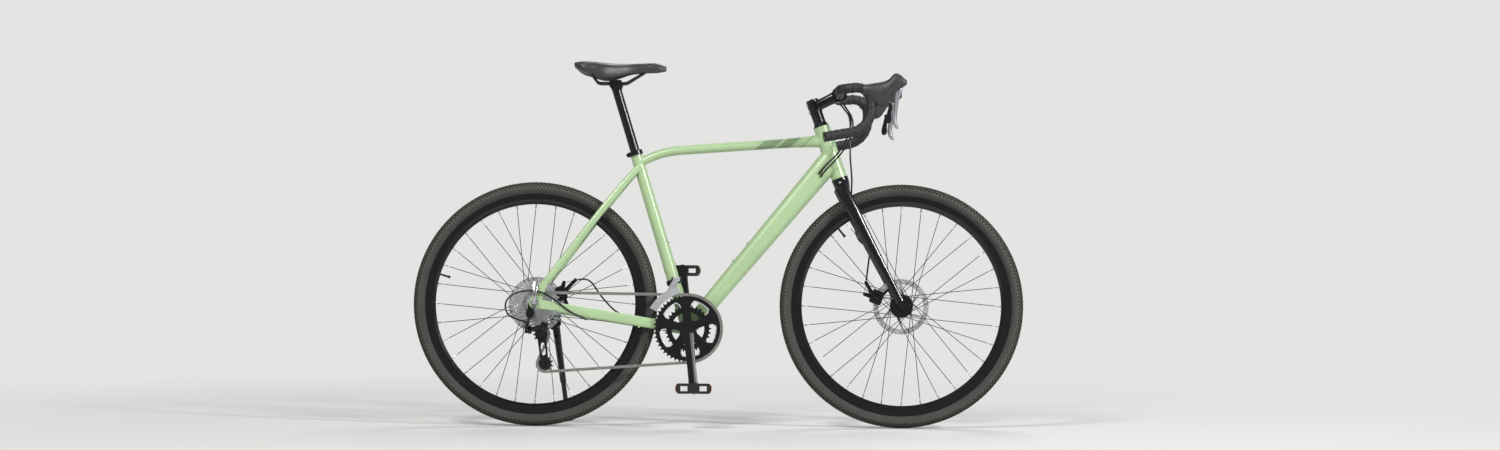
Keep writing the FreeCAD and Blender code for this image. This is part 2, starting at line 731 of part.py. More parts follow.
def make_bearing_cups():
    lower = tube(CROWN + STEER * FACE_GAP, HEAD_FOOT, HEAD_TUBE_R + 1.0, STEERER_R + 0.3)
    upper_foot = HEAD_TOP
    upper_top = HEAD_TOP + STEER * (UPPER_CUP_H - FACE_GAP)
    upper = cone(upper_foot, upper_top, HEAD_TUBE_R + 0.5, STEERER_R + 3.5)
    upper = upper.cut(rod(upper_foot - STEER, upper_top + STEER, STEERER_R + 0.3))
    bore = HEAD_TUBE_R - HEAD_TUBE_WALL
    bearings = [tube(HEAD_FOOT + STEER * 2, HEAD_FOOT + STEER * 10, bore, STEERER_R + RUNNING_CLEARANCE),
                tube(HEAD_TOP - STEER * 10, HEAD_TOP - STEER * 2, bore, STEERER_R + RUNNING_CLEARANCE)]
    half = BB_SHELL_W / 2
    cups = [washer(BB, half, half + 11, BB_SHELL_R + 1.0, SPINDLE_R + RUNNING_CLEARANCE),
            washer(BB, -half - 11, -half, BB_SHELL_R + 1.0, SPINDLE_R + RUNNING_CLEARANCE)]
    return group([lower, upper] + bearings + cups)


def make_seat_clamp():
    low = SEAT_TOP - SEAT * 13
    collar = tube(low, SEAT_TOP, SEAT_TUBE_TOP_R + 4.0, SEAT_TUBE_TOP_R + 0.1)
    back = V(-SEAT.z, 0, SEAT.x)
    ear_at = SEAT_TOP - SEAT * 6.5 + back * (SEAT_TUBE_TOP_R + 5.0)
    ears = [rod(V(ear_at.x, y0, ear_at.z), V(ear_at.x, y0 + 8, ear_at.z), 6.0) for y0 in (-10.0, 2.0)]
    bolt = across(ear_at, -13, 13, 2.5)
    collar = fused([collar] + ears)
    collar = collar.cut(cone(BB, SEAT_TOP, SEAT_TUBE_FOOT_R + 0.1, SEAT_TUBE_TOP_R + 0.1))
    collar = collar.cut(rod(low - SEAT * 40, SEAT_TOP + SEAT,
                            SEAT_TUBE_TOP_R + 0.1)).cut(across(ear_at, -30, 30, 2.5))
    return group([collar, bolt])


def make_frame_bolts():
    bolts = []
    for point, outward in seat_bolts() + down_bolts():
        head = rod(point + outward * 0.1, point + outward * BOLT_HEAD_H, BOLT_HEAD_R)
        shank = rod(point - outward * 6, point + outward * 0.2, BOLT_SHANK_R)
        bolts.append(fused([head, shank]))
    return group(bolts)


# Fork and cockpit

def st(up, ahead, y):
    return CROWN + STEER * up + AHEAD * ahead + V(0, y, 0)


def leg_ahead(up):
    drop = math.sqrt(FORK_LENGTH**2 - FORK_RAKE**2)
    return -5.0 + (FORK_RAKE + 5.0) * (-up - 40.0) / (drop - 40.0)


def fork_leg(side):
    drop = math.sqrt(FORK_LENGTH**2 - FORK_RAKE**2)
    end_y = FRONT_WIDTH / 2 + 6.5
    stations = ((-24.0, 38.0, 14.0, 19.5), (-60.0, 46.5, 11.0, 19.5), (-130.0, 50.0, 10.0, 17.5),
                (-230.0, 53.5, 9.0, 14.5),
                (-330.0, end_y, 7.0, 12.5), (-drop + 8.0, end_y, 6.4, 12.0))
    sections = []
    for up, y, half_w, half_d in stations:
        center = st(up, leg_ahead(up), side * y)
        sections.append(oval(center, Y, AHEAD, half_w, half_d, 2.2))
    return loft(sections)


def fork_eyelet(side):
    # Mouth of the threaded hole on the outside of the leg, and its outward direction
    up = -FORK_EYELET_DOWN
    return st(up, leg_ahead(up), side * 64.5), V(0, side, 0)


def hex_rod(foot, tip, flats):
    along = unit(tip - foot)
    side = unit(along.cross(V(0, 0, 1)))
    up = along.cross(side)
    corners = []
    for corner in range(7):
        turn = math.radians(60 * corner)
        corners.append(foot + (side * math.cos(turn) + up * math.sin(turn)) * (flats / math.sqrt(3)))
    return Part.Face(Part.makePolygon(corners)).extrude(tip - foot)


def make_fork():
    crown_sections = []
    for up, ahead, half_w, half_d in ((0.0, 0.0, 24.0, 24.0), (-10.0, 0.0, 26.0, 23.5),
                                      (-24.0, -1.0, 38.0, 22.0),
                                      (-38.0, -3.0, 52.0, 20.5), (-50.0, -4.0, 56.5, 19.5)):
        crown_sections.append(oval(st(up, ahead, 0), Y, AHEAD, half_w, half_d, 2.2))
    crown = loft(crown_sections)
    arch = rod(st(-62, -60, 0), st(-62, 60, 0), 33.0)
    slot = loft([oval(st(up, -8, 0), Y, AHEAD, half, 60.0, 4.0)
                 for up, half in ((-62, 33.0), (-150, 38.0))])
    steerer_top = STEM_FOOT_S + STEM_CLAMP_H
    steerer = rod(st(-12, 0, 0), st(steerer_top, 0, 0), STEERER_R)
    half = FRONT_WIDTH / 2
    pieces = [crown.cut(arch).cut(slot), steerer]
    for side in (1, -1):
        pieces.append(fork_leg(side).cut(arch))
        pieces.append(across(FRONT_AXLE, side * half, side * (half + 12.5), 13.5))
        mouth, outward = fork_eyelet(side)
        pieces.append(rod(mouth - outward * (EYELET_DEPTH + EYELET_FLOOR), mouth, EYELET_BOSS_R))
    body = fused(pieces)
    cuts = [rod(st(-60, 0, 0), st(steerer_top + 1, 0, 0), STEERER_R - STEERER_WALL),
            across(FRONT_AXLE, -half - 30, half + 30, FRONT_AXLE_R)]
    for side in (1, -1):
        mouth, outward = fork_eyelet(side)
        pocket_foot = mouth - outward * (EYELET_DEPTH + EYELET_FLOOR + INSERT_FIT)
        cuts.append(hex_rod(pocket_foot, mouth + outward, EYELET_FLATS + 2 * INSERT_FIT))
        cuts.append(across(FRONT_AXLE, side * (half - 8), side * half, 30))
        cuts.append(across(FRONT_AXLE, side * (half + 12.5), side * (half + 30), 30))
    inserts = []
    for side in (1, -1):
        mouth, outward = fork_eyelet(side)
        insert = hex_rod(mouth - outward * (EYELET_DEPTH + EYELET_FLOOR), mouth, EYELET_FLATS)
        inserts.append(insert.cut(rod(mouth - outward * EYELET_DEPTH, mouth + outward, EYELET_R)))
    return group([cut_each(body, cuts)] + inserts)


def make_headset_spacers():
    foot = LOWER_STACK + HEAD_TUBE_L + UPPER_CUP_H
    pieces = []
    for index in range(3):
        low = foot + SPACER_STACK / 3 * index
        pieces.append(tube(st(low, 0, 0), st(low + SPACER_STACK / 3, 0, 0), 17.5, STEERER_R))
    top = STEM_FOOT_S + STEM_CLAMP_H
    pieces.append(fused([rod(st(top, 0, 0), st(top + TOP_CAP_H, 0, 0), 17.0),
                         rod(st(top + TOP_CAP_H, 0, 0), st(top + TOP_CAP_H + 2, 0, 0), 5.0)]))
    return group(pieces)


def make_stem():
    low = STEM_MID - STEER * (STEM_CLAMP_H / 2)
    high = STEM_MID + STEER * (STEM_CLAMP_H / 2)
    clamp = rod(low, high, 18.5)
    up = unit(STEM_DIR.cross(Y)) * -1
    beam = loft([oval(STEM_MID + STEM_DIR * part, Y, up, half_w, half_h, 2.6)
                 for part, half_w, half_h in ((4.0, 17.5, 17.0), (40.0, 15.5, 15.5),
                                              (STEM_L - 6.0, 18.0, 18.0))])
    half = STEM_FACE_W / 2
    ring = rod(BAR - Y * half, BAR + Y * half, BAR_CLAMP_R + 6.0)
    body = fused([clamp, beam, ring])
    body = body.cut(rod(low - STEER * 30, high + STEER * 30, STEERER_R))
    body = body.cut(rod(BAR - Y * 60, BAR + Y * 60, BAR_CLAMP_R))
    size = 80.0
    box = Part.makeBox(size, size, size, V(0, -size / 2, -size / 2))
    turn = math.degrees(math.atan2(STEM_DIR.z, STEM_DIR.x))
    box.rotate(V(0, 0, 0), Y, -turn)
    front = box.copy()
    front.translate(BAR + STEM_DIR * 1.0)
    rear = box.copy()
    rear.translate(BAR - STEM_DIR * 1.0)
    back_half = body.cut(rear)
    plate = tube(BAR - Y * half, BAR + Y * half, BAR_CLAMP_R + 6.0, BAR_CLAMP_R).common(front)
    bolts = []
    for side in (-1, 1):
        for tall in (-1, 1):
            foot = BAR + Y * (side * (half - 7.0)) + up * (tall * (BAR_CLAMP_R + 2.0))
            seat = foot + STEM_DIR * 10.0
            shank = rod(foot - STEM_DIR * 12, seat, 2.0)
            bolts.append(fused([shank, rod(seat, seat + STEM_DIR * 4.0, 3.6)]))
    pinch = []
    for along in (-10.0, 10.0):
        at = STEM_MID + STEER * along - AHEAD * 17.6
        pinch.append(rod(at - Y * 11, at + Y * 11, 3.0))
    back_half = cut_each(back_half, bolts + pinch)
    plate = cut_each(plate, bolts)
    return group([back_half, plate] + bolts + pinch)


def bar_corners(side):
    return [BAR, BAR + V(0, side * (BAR_HALF_WIDTH - 9), 0), BAR + V(BAR_REACH, side * BAR_HALF_WIDTH, 9),
            BAR + V(BAR_REACH - 1.5, side * (BAR_HALF_WIDTH + 10), -0.823 * BAR_DROP),
            BAR + V(-BAR_TAIL, side * (BAR_HALF_WIDTH + BAR_FLARE), -BAR_DROP)]


BAR_BENDS = (35.0, 42.0, 70.0)
TAPE_START = 70.0


def half_bar(side, radius, start_y=0.0):
    corners = bar_corners(side)
    corners[0] = BAR + V(0, side * start_y, 0)
    return pipe(corners, BAR_BENDS, radius)


def make_handlebar():
    grip = []
    for side in (1, -1):
        grip.append(half_bar(side, BAR_R).cut(half_bar(side, BAR_R - BAR_WALL)))
    middle = [rod(BAR - Y * 34, BAR + Y * 34, BAR_CLAMP_R)]
    for side in (1, -1):
        middle.append(cone(BAR + Y * (side * 34), BAR + Y * (side * 52), BAR_CLAMP_R, BAR_R + 0.2))
    bulge = cut_each(fused(middle), [rod(BAR - Y * 60, BAR + Y * 60, BAR_R - BAR_WALL)])
    plugs = []
    for side in (1, -1):
        corners = bar_corners(side)
        tail = unit(corners[4] - corners[3])
        plugs.append(fused([rod(corners[4], corners[4] + tail * 4, BAR_R + TAPE_T),
                            rod(corners[4] - tail * 14, corners[4], BAR_R - BAR_WALL)]))
    return group([fused(grip + [bulge])] + plugs)


def make_bar_tape():
    return group([half_bar(side, BAR_R + TAPE_T, TAPE_START).cut(half_bar(side, BAR_R, TAPE_START - 2))
                  for side in (1, -1)])


# Brake hood and lever outlines are set out from the front of the bar hook, forward and up
HOOD_AT = BAR + V(BAR_REACH, 0, 0)
LEVER_PIN = V(HOOD_AT.x + 61.5, 0, HOOD_AT.z - 4.0)
PADDLE_PIN = V(HOOD_AT.x + 55.0, 0, HOOD_AT.z - 42.0)
LEVER_HALF_W = 7.0


def hood_y(x):
    return BAR_HALF_WIDTH + 4.0 + 0.06 * (x - HOOD_AT.x)


def lever_y():
    return hood_y(LEVER_PIN.x)


def hood_solid(side):
    sections = []
    for ahead, up, half_h, half_w in ((-24.0, -4.0, 18.0, 15.0), (0.0, -9.0, 25.0, 18.5),
                                      (30.0, -15.0, 36.0, 19.0),
                                      (53.0, 4.0, 28.0, 18.0), (70.0, 18.5, 27.0, 17.0),
                                      (88.0, 19.0, 16.5, 14.5),
                                      (100.0, 19.5, 6.0, 8.0)):
        x = HOOD_AT.x + ahead
        center = V(x, side * hood_y(x), HOOD_AT.z + up)
        sections.append(oval(center, Y, V(0, 0, 1), half_w, half_h, 2.3))
    return loft(sections)


# Steps of the slot that the lever and the paddle swing in, as back, front, foot and top from the lever's pin
HOOD_SLOT = ((-9.5, 50.0, -40.0, 16.0), (-28.5, 20.0, -60.0, -24.5), (-36.0, 0.0, -60.0, -36.5))


def make_brake_hoods():
    pieces = []
    for side in (1, -1):
        y = side * lever_y()
        y0 = y - LEVER_HALF_W - 1.0
        y1 = y + LEVER_HALF_W + 1.0
        slots = [block(LEVER_PIN.x + back, LEVER_PIN.x + front, y0, y1, LEVER_PIN.z + foot, LEVER_PIN.z + top)
                 for back, front, foot, top in HOOD_SLOT]
        pin = across(LEVER_PIN, y - 15.0, y + 15.0, 2.5)
        hood = hood_solid(side).cut(half_bar(side, BAR_R + TAPE_T, TAPE_START))
        hood = largest(cut_each(hood, slots + [pin]))
        pieces.append(hood)
        pieces.append(pin)
    return group(pieces)


def lever_solid(side):
    y = side * lever_y()
    sections = []
    for ahead, up, half_d, half_w in ((16.0, 11.0, 8.0, 5.5), (15.0, -4.0, 10.0, 6.5),
                                      (11.0, -22.0, 7.5, 6.8),
                                      (7.5, -50.0, 6.0, 6.8), (3.5, -78.0, 7.0, 7.0),
                                      (6.5, -98.0, 6.5, 6.5),
                                      (13.0, -109.0, 3.5, 4.0)):
        center = V(LEVER_PIN.x + ahead, y, LEVER_PIN.z + up)
        sections.append(oval(center, Y, V(1, 0, 0), half_w, half_d, 2.2))
    blade = loft(sections)
    eye = across(LEVER_PIN, y - LEVER_HALF_W, y + LEVER_HALF_W, 6.5)
    web = block(LEVER_PIN.x, LEVER_PIN.x + 15, y - 5.5, y + 5.5, LEVER_PIN.z - 6, LEVER_PIN.z + 6)
    peg = rod(V(PADDLE_PIN.x - 6, y, PADDLE_PIN.z), V(LEVER_PIN.x + 8, y, PADDLE_PIN.z), 2.0)
    body = fused([blade, eye, web, peg])
    return body.cut(across(LEVER_PIN, y - 20, y + 20, 2.5 + RUNNING_CLEARANCE))


def paddle_solid(side):
    y = side * lever_y()
    sections = []
    for ahead, up, half_d, half_w in ((-1.0, -2.0, 4.5, 2.4), (-2.5, -16.0, 6.0, 2.0),
                                      (-6.0, -36.0, 7.5, 1.9),
                                      (-6.5, -50.0, 7.5, 1.7), (-7.0, -56.0, 4.5, 1.2)):
        center = V(PADDLE_PIN.x + ahead, y, PADDLE_PIN.z + up)
        sections.append(oval(center, Y, V(1, 0, 0), half_w, half_d, 2.4))
    eye = rod(V(PADDLE_PIN.x - 6, y, PADDLE_PIN.z), V(PADDLE_PIN.x + 2.0, y, PADDLE_PIN.z), 4.5)
    bore = rod(V(PADDLE_PIN.x - 20, y, PADDLE_PIN.z), V(PADDLE_PIN.x + 20, y, PADDLE_PIN.z),
               2.0 + RUNNING_CLEARANCE)
    return fused([loft(sections), eye]).cut(bore)


# Disc calipers: a block over the rotor edge, its mount, an adjuster on the inside and an arm on the outside

FRONT_CALIPER_ANGLE = 159.0
REAR_CALIPER_ANGLE = 25.0
CALIPER_R = ROTOR_R - 5.0
FRONT_ARM_ANGLE = 165.0
REAR_ARM_ANGLE = 75.0
ARM_L = 34.0
FRONT_PULL = V(0.12, 0, 0.993)
REAR_PULL = V(0.98, 0, 0.2)


def caliper_block(center, angle, rotor_y):
    at = around(center, angle, CALIPER_R)
    radial = V(math.cos(math.radians(angle)), 0, math.sin(math.radians(angle)))
    side = V(-radial.z, 0, radial.x)
    corners = [at + radial * a + side * b for a, b in ((-18, -20), (18, -20), (18, 20), (-18, 20))]
    body = rounded_prism([(p.x, p.z) for p in corners], 7.0, rotor_y - 13, rotor_y + 18)
    slot_corners = [at + radial * a + side * b for a, b in ((-40, -40), (9, -40), (9, 40), (-40, 40))]
    slot = prism([(p.x, p.z) for p in slot_corners], rotor_y - 2.2, rotor_y + 2.2)
    pads = []
    for y0, y1 in ((rotor_y - 2.1, rotor_y - 1.3), (rotor_y + 1.3, rotor_y + 2.1)):
        face = [at + radial * a + side * b for a, b in ((-12, -9), (4, -9), (4, 9), (-12, 9))]
        pads.append(prism([(p.x, p.z) for p in face], y0, y1))
    knob = across(at, rotor_y - 14.5, rotor_y - 13, 8.0)
    return at, radial, body.cut(slot), pads, knob


def caliper_pin(center, angle, rotor_y):
    return V(*around(center, angle, CALIPER_R + 2.0, rotor_y + 18))


def cable_stop(center, angle, rotor_y, arm_angle, pull):
    # Where the outer cable ends, out along the pull from the end of the arm
    pin = caliper_pin(center, angle, rotor_y)
    return around(pin, arm_angle, ARM_L, pin.y + 7.5) + pull * 34.0


def make_caliper(center, angle, rotor_y, arm_angle, pull, mount):
    at, radial, body, pads, knob = caliper_block(center, angle, rotor_y)
    pin = caliper_pin(center, angle, rotor_y)
    stud = across(pin, pin.y - 4, pin.y + 8, 4.0)
    stop = cable_stop(center, angle, rotor_y, arm_angle, pull)
    lug = stadium(at + radial * 10, stop, 6.0, 5.0, pin.y - 7, pin.y - 1)
    barrel = across(stop, pin.y - 1, pin.y + 12, 5.0)
    body = fused([body, knob, stud, lug, barrel]).cut(rod(stop - pull * 9, stop + pull * 9, 1.2))
    return group([body, mount.cut(body)] + pads)


def make_front_caliper():
    at = around(FRONT_AXLE, FRONT_CALIPER_ANGLE, CALIPER_R)
    leg = st(-330.0, leg_ahead(-330.0), 0)
    mount = stadium(at, V(leg.x, 0, leg.z), 13.0, 11.0, FRONT_ROTOR_Y + 8, FRONT_ROTOR_Y + 17)
    mount = mount.cut(fork_leg(1))
    mount = largest(mount)
    return make_caliper(FRONT_AXLE, FRONT_CALIPER_ANGLE, FRONT_ROTOR_Y, FRONT_ARM_ANGLE, FRONT_PULL,
                        mount)


def make_rear_caliper():
    at = around(REAR_AXLE, REAR_CALIPER_ANGLE, CALIPER_R)
    foot = V(at.x + 16, 0, stay_line_z(at.x + 16) + 4)
    mount = stadium(at, foot, 13.0, 13.0, REAR_ROTOR_Y + 7, REAR_ROTOR_Y + 16)
    mount = mount.cut(swept(chainstay_stations(), 2.6))
    mount = max(mount.Solids, key=lambda solid: solid.CenterOfMass.z)
    return make_caliper(REAR_AXLE, REAR_CALIPER_ANGLE, REAR_ROTOR_Y, REAR_ARM_ANGLE, REAR_PULL, mount)


def caliper_arm(center, angle, rotor_y, arm_angle):
    pin = caliper_pin(center, angle, rotor_y)
    y0 = pin.y + FACE_GAP
    y1 = pin.y + 5.0
    end = around(pin, arm_angle, ARM_L)
    body = stadium(pin, end, 9.0, 5.0, y0, y1)
    clamp = across(end, y1, y1 + 5.0, 4.0)
    return fused([body, clamp]).cut(across(pin, y0 - 10, y1 + 20, 4.0 + RUNNING_CLEARANCE))


# Seat

def make_seatpost():
    low = SEAT_TOP - SEAT * POST_INSERT
    reach = (RAIL_Z - 14.0 - SEAT_TOP.z) / SEAT.z
    high = SEAT_TOP + SEAT * reach
    post = rod(low, high, SEATPOST_R)
    x = high.x
    cradle = rounded_prism([(x - 24, RAIL_Z), (x + 20, RAIL_Z), (x + 15, RAIL_Z - 18),
                            (x - 13, RAIL_Z - 18)], 4.0,
                           -RAIL_HALF_GAP - 8, RAIL_HALF_GAP + 8)
    yoke = rounded_prism([(x - 22, RAIL_Z), (x + 18, RAIL_Z), (x + 14, RAIL_Z + 9),
                          (x - 18, RAIL_Z + 9)], 3.0,
                         -RAIL_HALF_GAP - 7, RAIL_HALF_GAP + 7)
    bolt = rod(V(x - 2, 0, RAIL_Z - 24), V(x - 2, 0, RAIL_Z + 12), 3.0)
    rails = rail_solids()
    lower = fused([post, cradle]).cut(rod(low - SEAT, high - SEAT * 30, SEATPOST_R - 2.2))
    lower = cut_each(lower, rails + [bolt])
    yoke = cut_each(yoke, rails + [bolt])
    return group([lower, yoke, bolt])


def rail_solids():
    x = SEAT_TOP.x + (RAIL_Z - SEAT_TOP.z) * SEAT.x / SEAT.z
    rails = []
    for side in (1, -1):
        y = side * RAIL_HALF_GAP
        corners = [V(SADDLE_TAIL_X + 42, y * 1.6, RAIL_Z + 37), V(SADDLE_TAIL_X + 70, y, RAIL_Z),
                   V(x + 34, y, RAIL_Z),
                   V(SADDLE_TAIL_X + SADDLE_L - 50, y * 0.35, RAIL_Z + 40)]
        rails.append(pipe(corners, (16.0, 24.0), RAIL_R))
    return rails


SADDLE_STATIONS = ((0.000, 0.66, 0.0, -10.0, -13.0), (0.060, 0.93, 2.0, -24.0, -22.0),
                   (0.200, 1.00, 2.0, -38.0, -28.0),
                   (0.335, 0.94, -1.0, -48.0, -31.0), (0.470, 0.68, -3.0, -44.0, -28.0),
                   (0.600, 0.42, -2.0, -34.0, -25.0),
                   (0.760, 0.29, 0.0, -29.0, -25.0), (0.920, 0.25, -1.5, -27.0, -25.0),
                   (1.000, 0.15, -9.0, -23.0, -22.0))


def saddle_section(x, half_w, top, edge, belly):
    shape = ((0.0, top), (0.45, top - 1.0), (0.78, top - 4.5), (0.97, top * 0.6 + edge * 0.4),
             (0.99, edge + 2.0),
             (0.88, edge), (0.70, edge * 0.55 + belly * 0.45 + 1.0), (0.40, belly))
    points = []
    for part, up in shape:
        points.append(V(x, half_w * part, SADDLE_TOP_Z + up))
    points.append(V(x, 0, SADDLE_TOP_Z + belly))
    for part, up in reversed(shape[1:]):
        points.append(V(x, -half_w * part, SADDLE_TOP_Z + up))
    curve = Part.BSplineCurve()
    curve.interpolate(points, PeriodicFlag=True)
    return Part.Wire(curve.toShape())


def make_saddle_cover():
    sections = []
    for part, wide, top, edge, belly in SADDLE_STATIONS:
        sections.append(saddle_section(SADDLE_TAIL_X + SADDLE_L * part, SADDLE_W / 2 * wide, top, edge,
                                       belly))
    return cut_each(loft(sections), rail_solids())


def make_saddle_rails():
    return group(rail_solids())


# Crankset and pedals

def crank_arm(side, direction):
    cross = V(-direction.z, 0, direction.x)
    inner_y = Q_HALF - CRANK_T
    sections = []
    for along, y, half_w, half_t in ((0.0, 64.0, 17.5, 6.5), (40.0, 65.0, 15.0, 6.5),
                                     (100.0, 66.5, 13.0, 6.4),
                                     (150.0, inner_y + 6.5, 13.0, 6.4),
                                     (CRANK_L, inner_y + 6.5, 14.0, 6.4)):
        center = V(BB.x, side * y, BB.z) + direction * along
        sections.append(oval(center, cross, Y, half_w, half_t, 3.2))
    eye_at = BB + direction * CRANK_L
    y0 = side * inner_y
    y1 = side * Q_HALF
    return fused([loft(sections), across(eye_at, y0, y1, 15.0)])


def pedal_axle(side, direction):
    at = BB + direction * CRANK_L
    y0 = side * (Q_HALF - CRANK_T)
    y1 = side * (Q_HALF + PEDAL_W + 1.5)
    collar = across(at, side * Q_HALF, side * (Q_HALF + 4.0), 8.5)
    return fused([across(at, y0, y1, PEDAL_AXLE_R), collar])


def spider_angles():
    return [CRANK_ANGLE + 180.0 + 72.0 * index for index in range(SPIDER_ARMS)]


def ring_bolt_points():
    return [around(BB, angle, RING_BOLT_R) for angle in spider_angles()]


def make_crank_right():
    tab_out = RING_Y + RING_T / 2
    tab_in = INNER_RING_Y - RING_T / 2
    pieces = [crank_arm(-1, CRANK_DIR), across(BB, -70.5, -46.0, 22.5)]
    for angle, bolt in zip(spider_angles(), ring_bolt_points()):
        root = around(BB, angle, 16.0)
        pieces.append(stadium(root, around(BB, angle, 38.0), 14.0, 9.0, -57.0, tab_out + 0.5))
        pieces.append(stadium(around(BB, angle, 37.0), bolt, 10.0, 8.5, tab_out, tab_in))
    body = fused(pieces)
    cuts = [across(point, -80, 0, 4.1) for point in ring_bolt_points()]
    spindle = across(BB, -50.0, Q_HALF - CRANK_T + 4.0, SPINDLE_R)
    cuts.append(spindle)
    hollow = across(BB, -40.0, Q_HALF, SPINDLE_R - 2.0)
    axle = pedal_axle(-1, CRANK_DIR)
    return group([cut_each(body, cuts).cut(axle), spindle.cut(hollow), axle])


def make_crank_left():
    reach = CRANK_DIR * -1
    body = fused([crank_arm(1, reach), across(BB, 46.0, 70.5, 20.0)])
    axle = pedal_axle(1, reach)
    body = body.cut(across(BB, 40.0, Q_HALF - CRANK_T + 4.0, SPINDLE_R)).cut(axle)
    return group([body, axle])


def make_chainrings(phase):
    outer_r = pitch_radius(RING_TEETH)
    y0 = RING_Y - RING_T / 2
    y1 = RING_Y + RING_T / 2
    ring = toothed(BB, RING_TEETH, phase, y0, y1)
    inner_r = outer_r - 17.0
    ring = ring.cut(across(BB, y0 - 1, y1 + 1, inner_r))
    tabs = []
    windows = []
    holes = []
    for angle in spider_angles():
        tip = around(BB, angle, RING_BOLT_R)
        left = around(BB, angle - 13.5, inner_r + 3.0)
        right = around(BB, angle + 13.5, inner_r + 3.0)
        for root in (left, right):
            tabs.append(stadium(tip, root, 8.0, 5.0, y0, y1))
        corners = [around(BB, angle, RING_BOLT_R + 12.0), around(BB, angle - 6.5, inner_r - 2.0),
                   around(BB, angle + 6.5, inner_r - 2.0)]
        web = [around(BB, angle, RING_BOLT_R), around(BB, angle - 12.0, inner_r + 3.0),
               around(BB, angle + 12.0, inner_r + 3.0)]
        tabs.append(prism([(p.x, p.z) for p in web], y0, y1))
        windows.append(prism([(p.x, p.z) for p in corners], y0 - 1, y1 + 1))
        holes.append(across(tip, -80, 0, 4.1))
    ring = cut_each(fused([ring] + tabs), windows + holes)
    y2 = INNER_RING_Y - RING_T / 2
    y3 = INNER_RING_Y + RING_T / 2
    small = toothed(BB, INNER_RING_TEETH, CRANK_ANGLE, y2, y3)
    small = cut_each(small, [across(BB, y2 - 1, y3 + 1, RING_BOLT_R - 8.0)] + holes)
    bolts = []
    for point in ring_bolt_points():
        bolts.append(fused([across(point, y0 - 2.2, y0, 5.2), across(point, y0, y3, 4.0),
                            across(point, y3, y3 + 2, 5.2)]))
    return group([ring, small] + bolts)


def make_pedal(side, direction):
    at = BB + direction * CRANK_L
    y0 = side * (Q_HALF + 5.0)
    y1 = side * (Q_HALF + 5.0 + PEDAL_W)
    half_l = PEDAL_L / 2
    half_h = PEDAL_H / 2
    low = min(y0, y1)
    high = max(y0, y1)
    outline = [(at.x - half_l, at.z - half_h), (at.x + half_l, at.z - half_h),
               (at.x + half_l, at.z + half_h),
               (at.x - half_l, at.z + half_h)]
    body = rounded_prism(outline, 8.0, low, high)
    sleeve = across(at, low, high, 11.0)
    windows = []
    for x0, x1 in ((at.x - half_l + 9, at.x - 14), (at.x + 14, at.x + half_l - 9)):
        windows.append(block(x0, x1, low + 9, high - 9, at.z - 30, at.z + 30))
        windows.append(block(x0 + 3, x1 - 3, low - 5, high + 5, at.z - half_h + 6, at.z + half_h - 6))
    body = fused([cut_each(body, windows), sleeve])
    bore = across(at, y0 - side * 5, y1 - side * 3, PEDAL_AXLE_R + RUNNING_CLEARANCE)
    return body.cut(bore)


# Chain line: sprocket, guide pulley, tension pulley and chainring in order, with the way round each

def tension_pulley(cage_angle):
    return around(GUIDE_PULLEY, cage_angle, CAGE_L, CHAIN_Y)


def chain_circles(cage_angle):
    return [(REAR_AXLE, CASSETTE_TEETH[CHAIN_SPROCKET], 1), (GUIDE_PULLEY, PULLEY_TEETH, -1),
            (tension_pulley(cage_angle), PULLEY_TEETH, 1), (BB, RING_TEETH, 1)]


def chain_runs(cage_angle):
    # Straight runs between neighbours as (heading, length), and the pitches wrapped on each wheel
    circles = chain_circles(cage_angle)
    runs = []
    for index, (center, teeth, way) in enumerate(circles):
        after, after_teeth, after_way = circles[(index + 1) % len(circles)]
        dx = after.x - center.x
        dz = after.z - center.z
        span = math.hypot(dx, dz)
        slip = math.asin((way * pitch_radius(teeth) - after_way * pitch_radius(after_teeth)) / span)
        runs.append((math.atan2(dz, dx) + slip, span * math.cos(slip)))
    wraps = []
    for index, (center, teeth, way) in enumerate(circles):
        swing = (way * (runs[index][0] - runs[index - 1][0])) % (2 * math.pi)
        wraps.append(swing * teeth / (2 * math.pi))
    return runs, wraps


def chain_count(cage_angle):
    runs, wraps = chain_runs(cage_angle)
    return sum(wraps) + sum(length for heading, length in runs) / CHAIN_PITCH


def solve_cage_angle():
    # Nearest cage angle at which an even number of whole links closes the loop
    goal = 2 * round(chain_count(CAGE_ANGLE) / 2)
    low = CAGE_ANGLE - 25.0
    high = CAGE_ANGLE + 25.0
    rising = chain_count(high) > chain_count(low)
    for turn in range(60):
        middle = (low + high) / 2
        if (chain_count(middle) < goal) == rising:
            low = middle
        else:
            high = middle
    return (low + high) / 2, goal


SOLVED_CAGE_ANGLE, CHAIN_LINKS = solve_cage_angle()
TENSION_PULLEY = tension_pulley(SOLVED_CAGE_ANGLE)


def chain_point(distance):
    # Point on the chain line at a distance in pitches from where it meets the sprocket
    circles = chain_circles(SOLVED_CAGE_ANGLE)
    runs, wraps = chain_runs(SOLVED_CAGE_ANGLE)
    lines_y = (CHAIN_Y, CHAIN_Y, CHAIN_Y, RING_Y)
    left = distance % CHAIN_LINKS
    for index, (center, teeth, way) in enumerate(circles):
        heading = runs[index - 1][0]
        if left <= wraps[index]:
            turn = heading - way * math.pi / 2 + way * left * 2 * math.pi / teeth
            return around(center, math.degrees(turn), pitch_radius(teeth), lines_y[index])
        left -= wraps[index]
        heading, length = runs[index]
        if left * CHAIN_PITCH <= length:
            turn = heading - way * math.pi / 2
            part = left * CHAIN_PITCH / length
            shift = lines_y[(index + 1) % 4] - lines_y[index]
            y = lines_y[index] + shift * part**2 * (3 - 2 * part)
            start = around(center, math.degrees(turn), pitch_radius(teeth), y)
            return start + V(math.cos(heading), 0, math.sin(heading)) * (left * CHAIN_PITCH)
        left -= length / CHAIN_PITCH
    return chain_point(0.0)


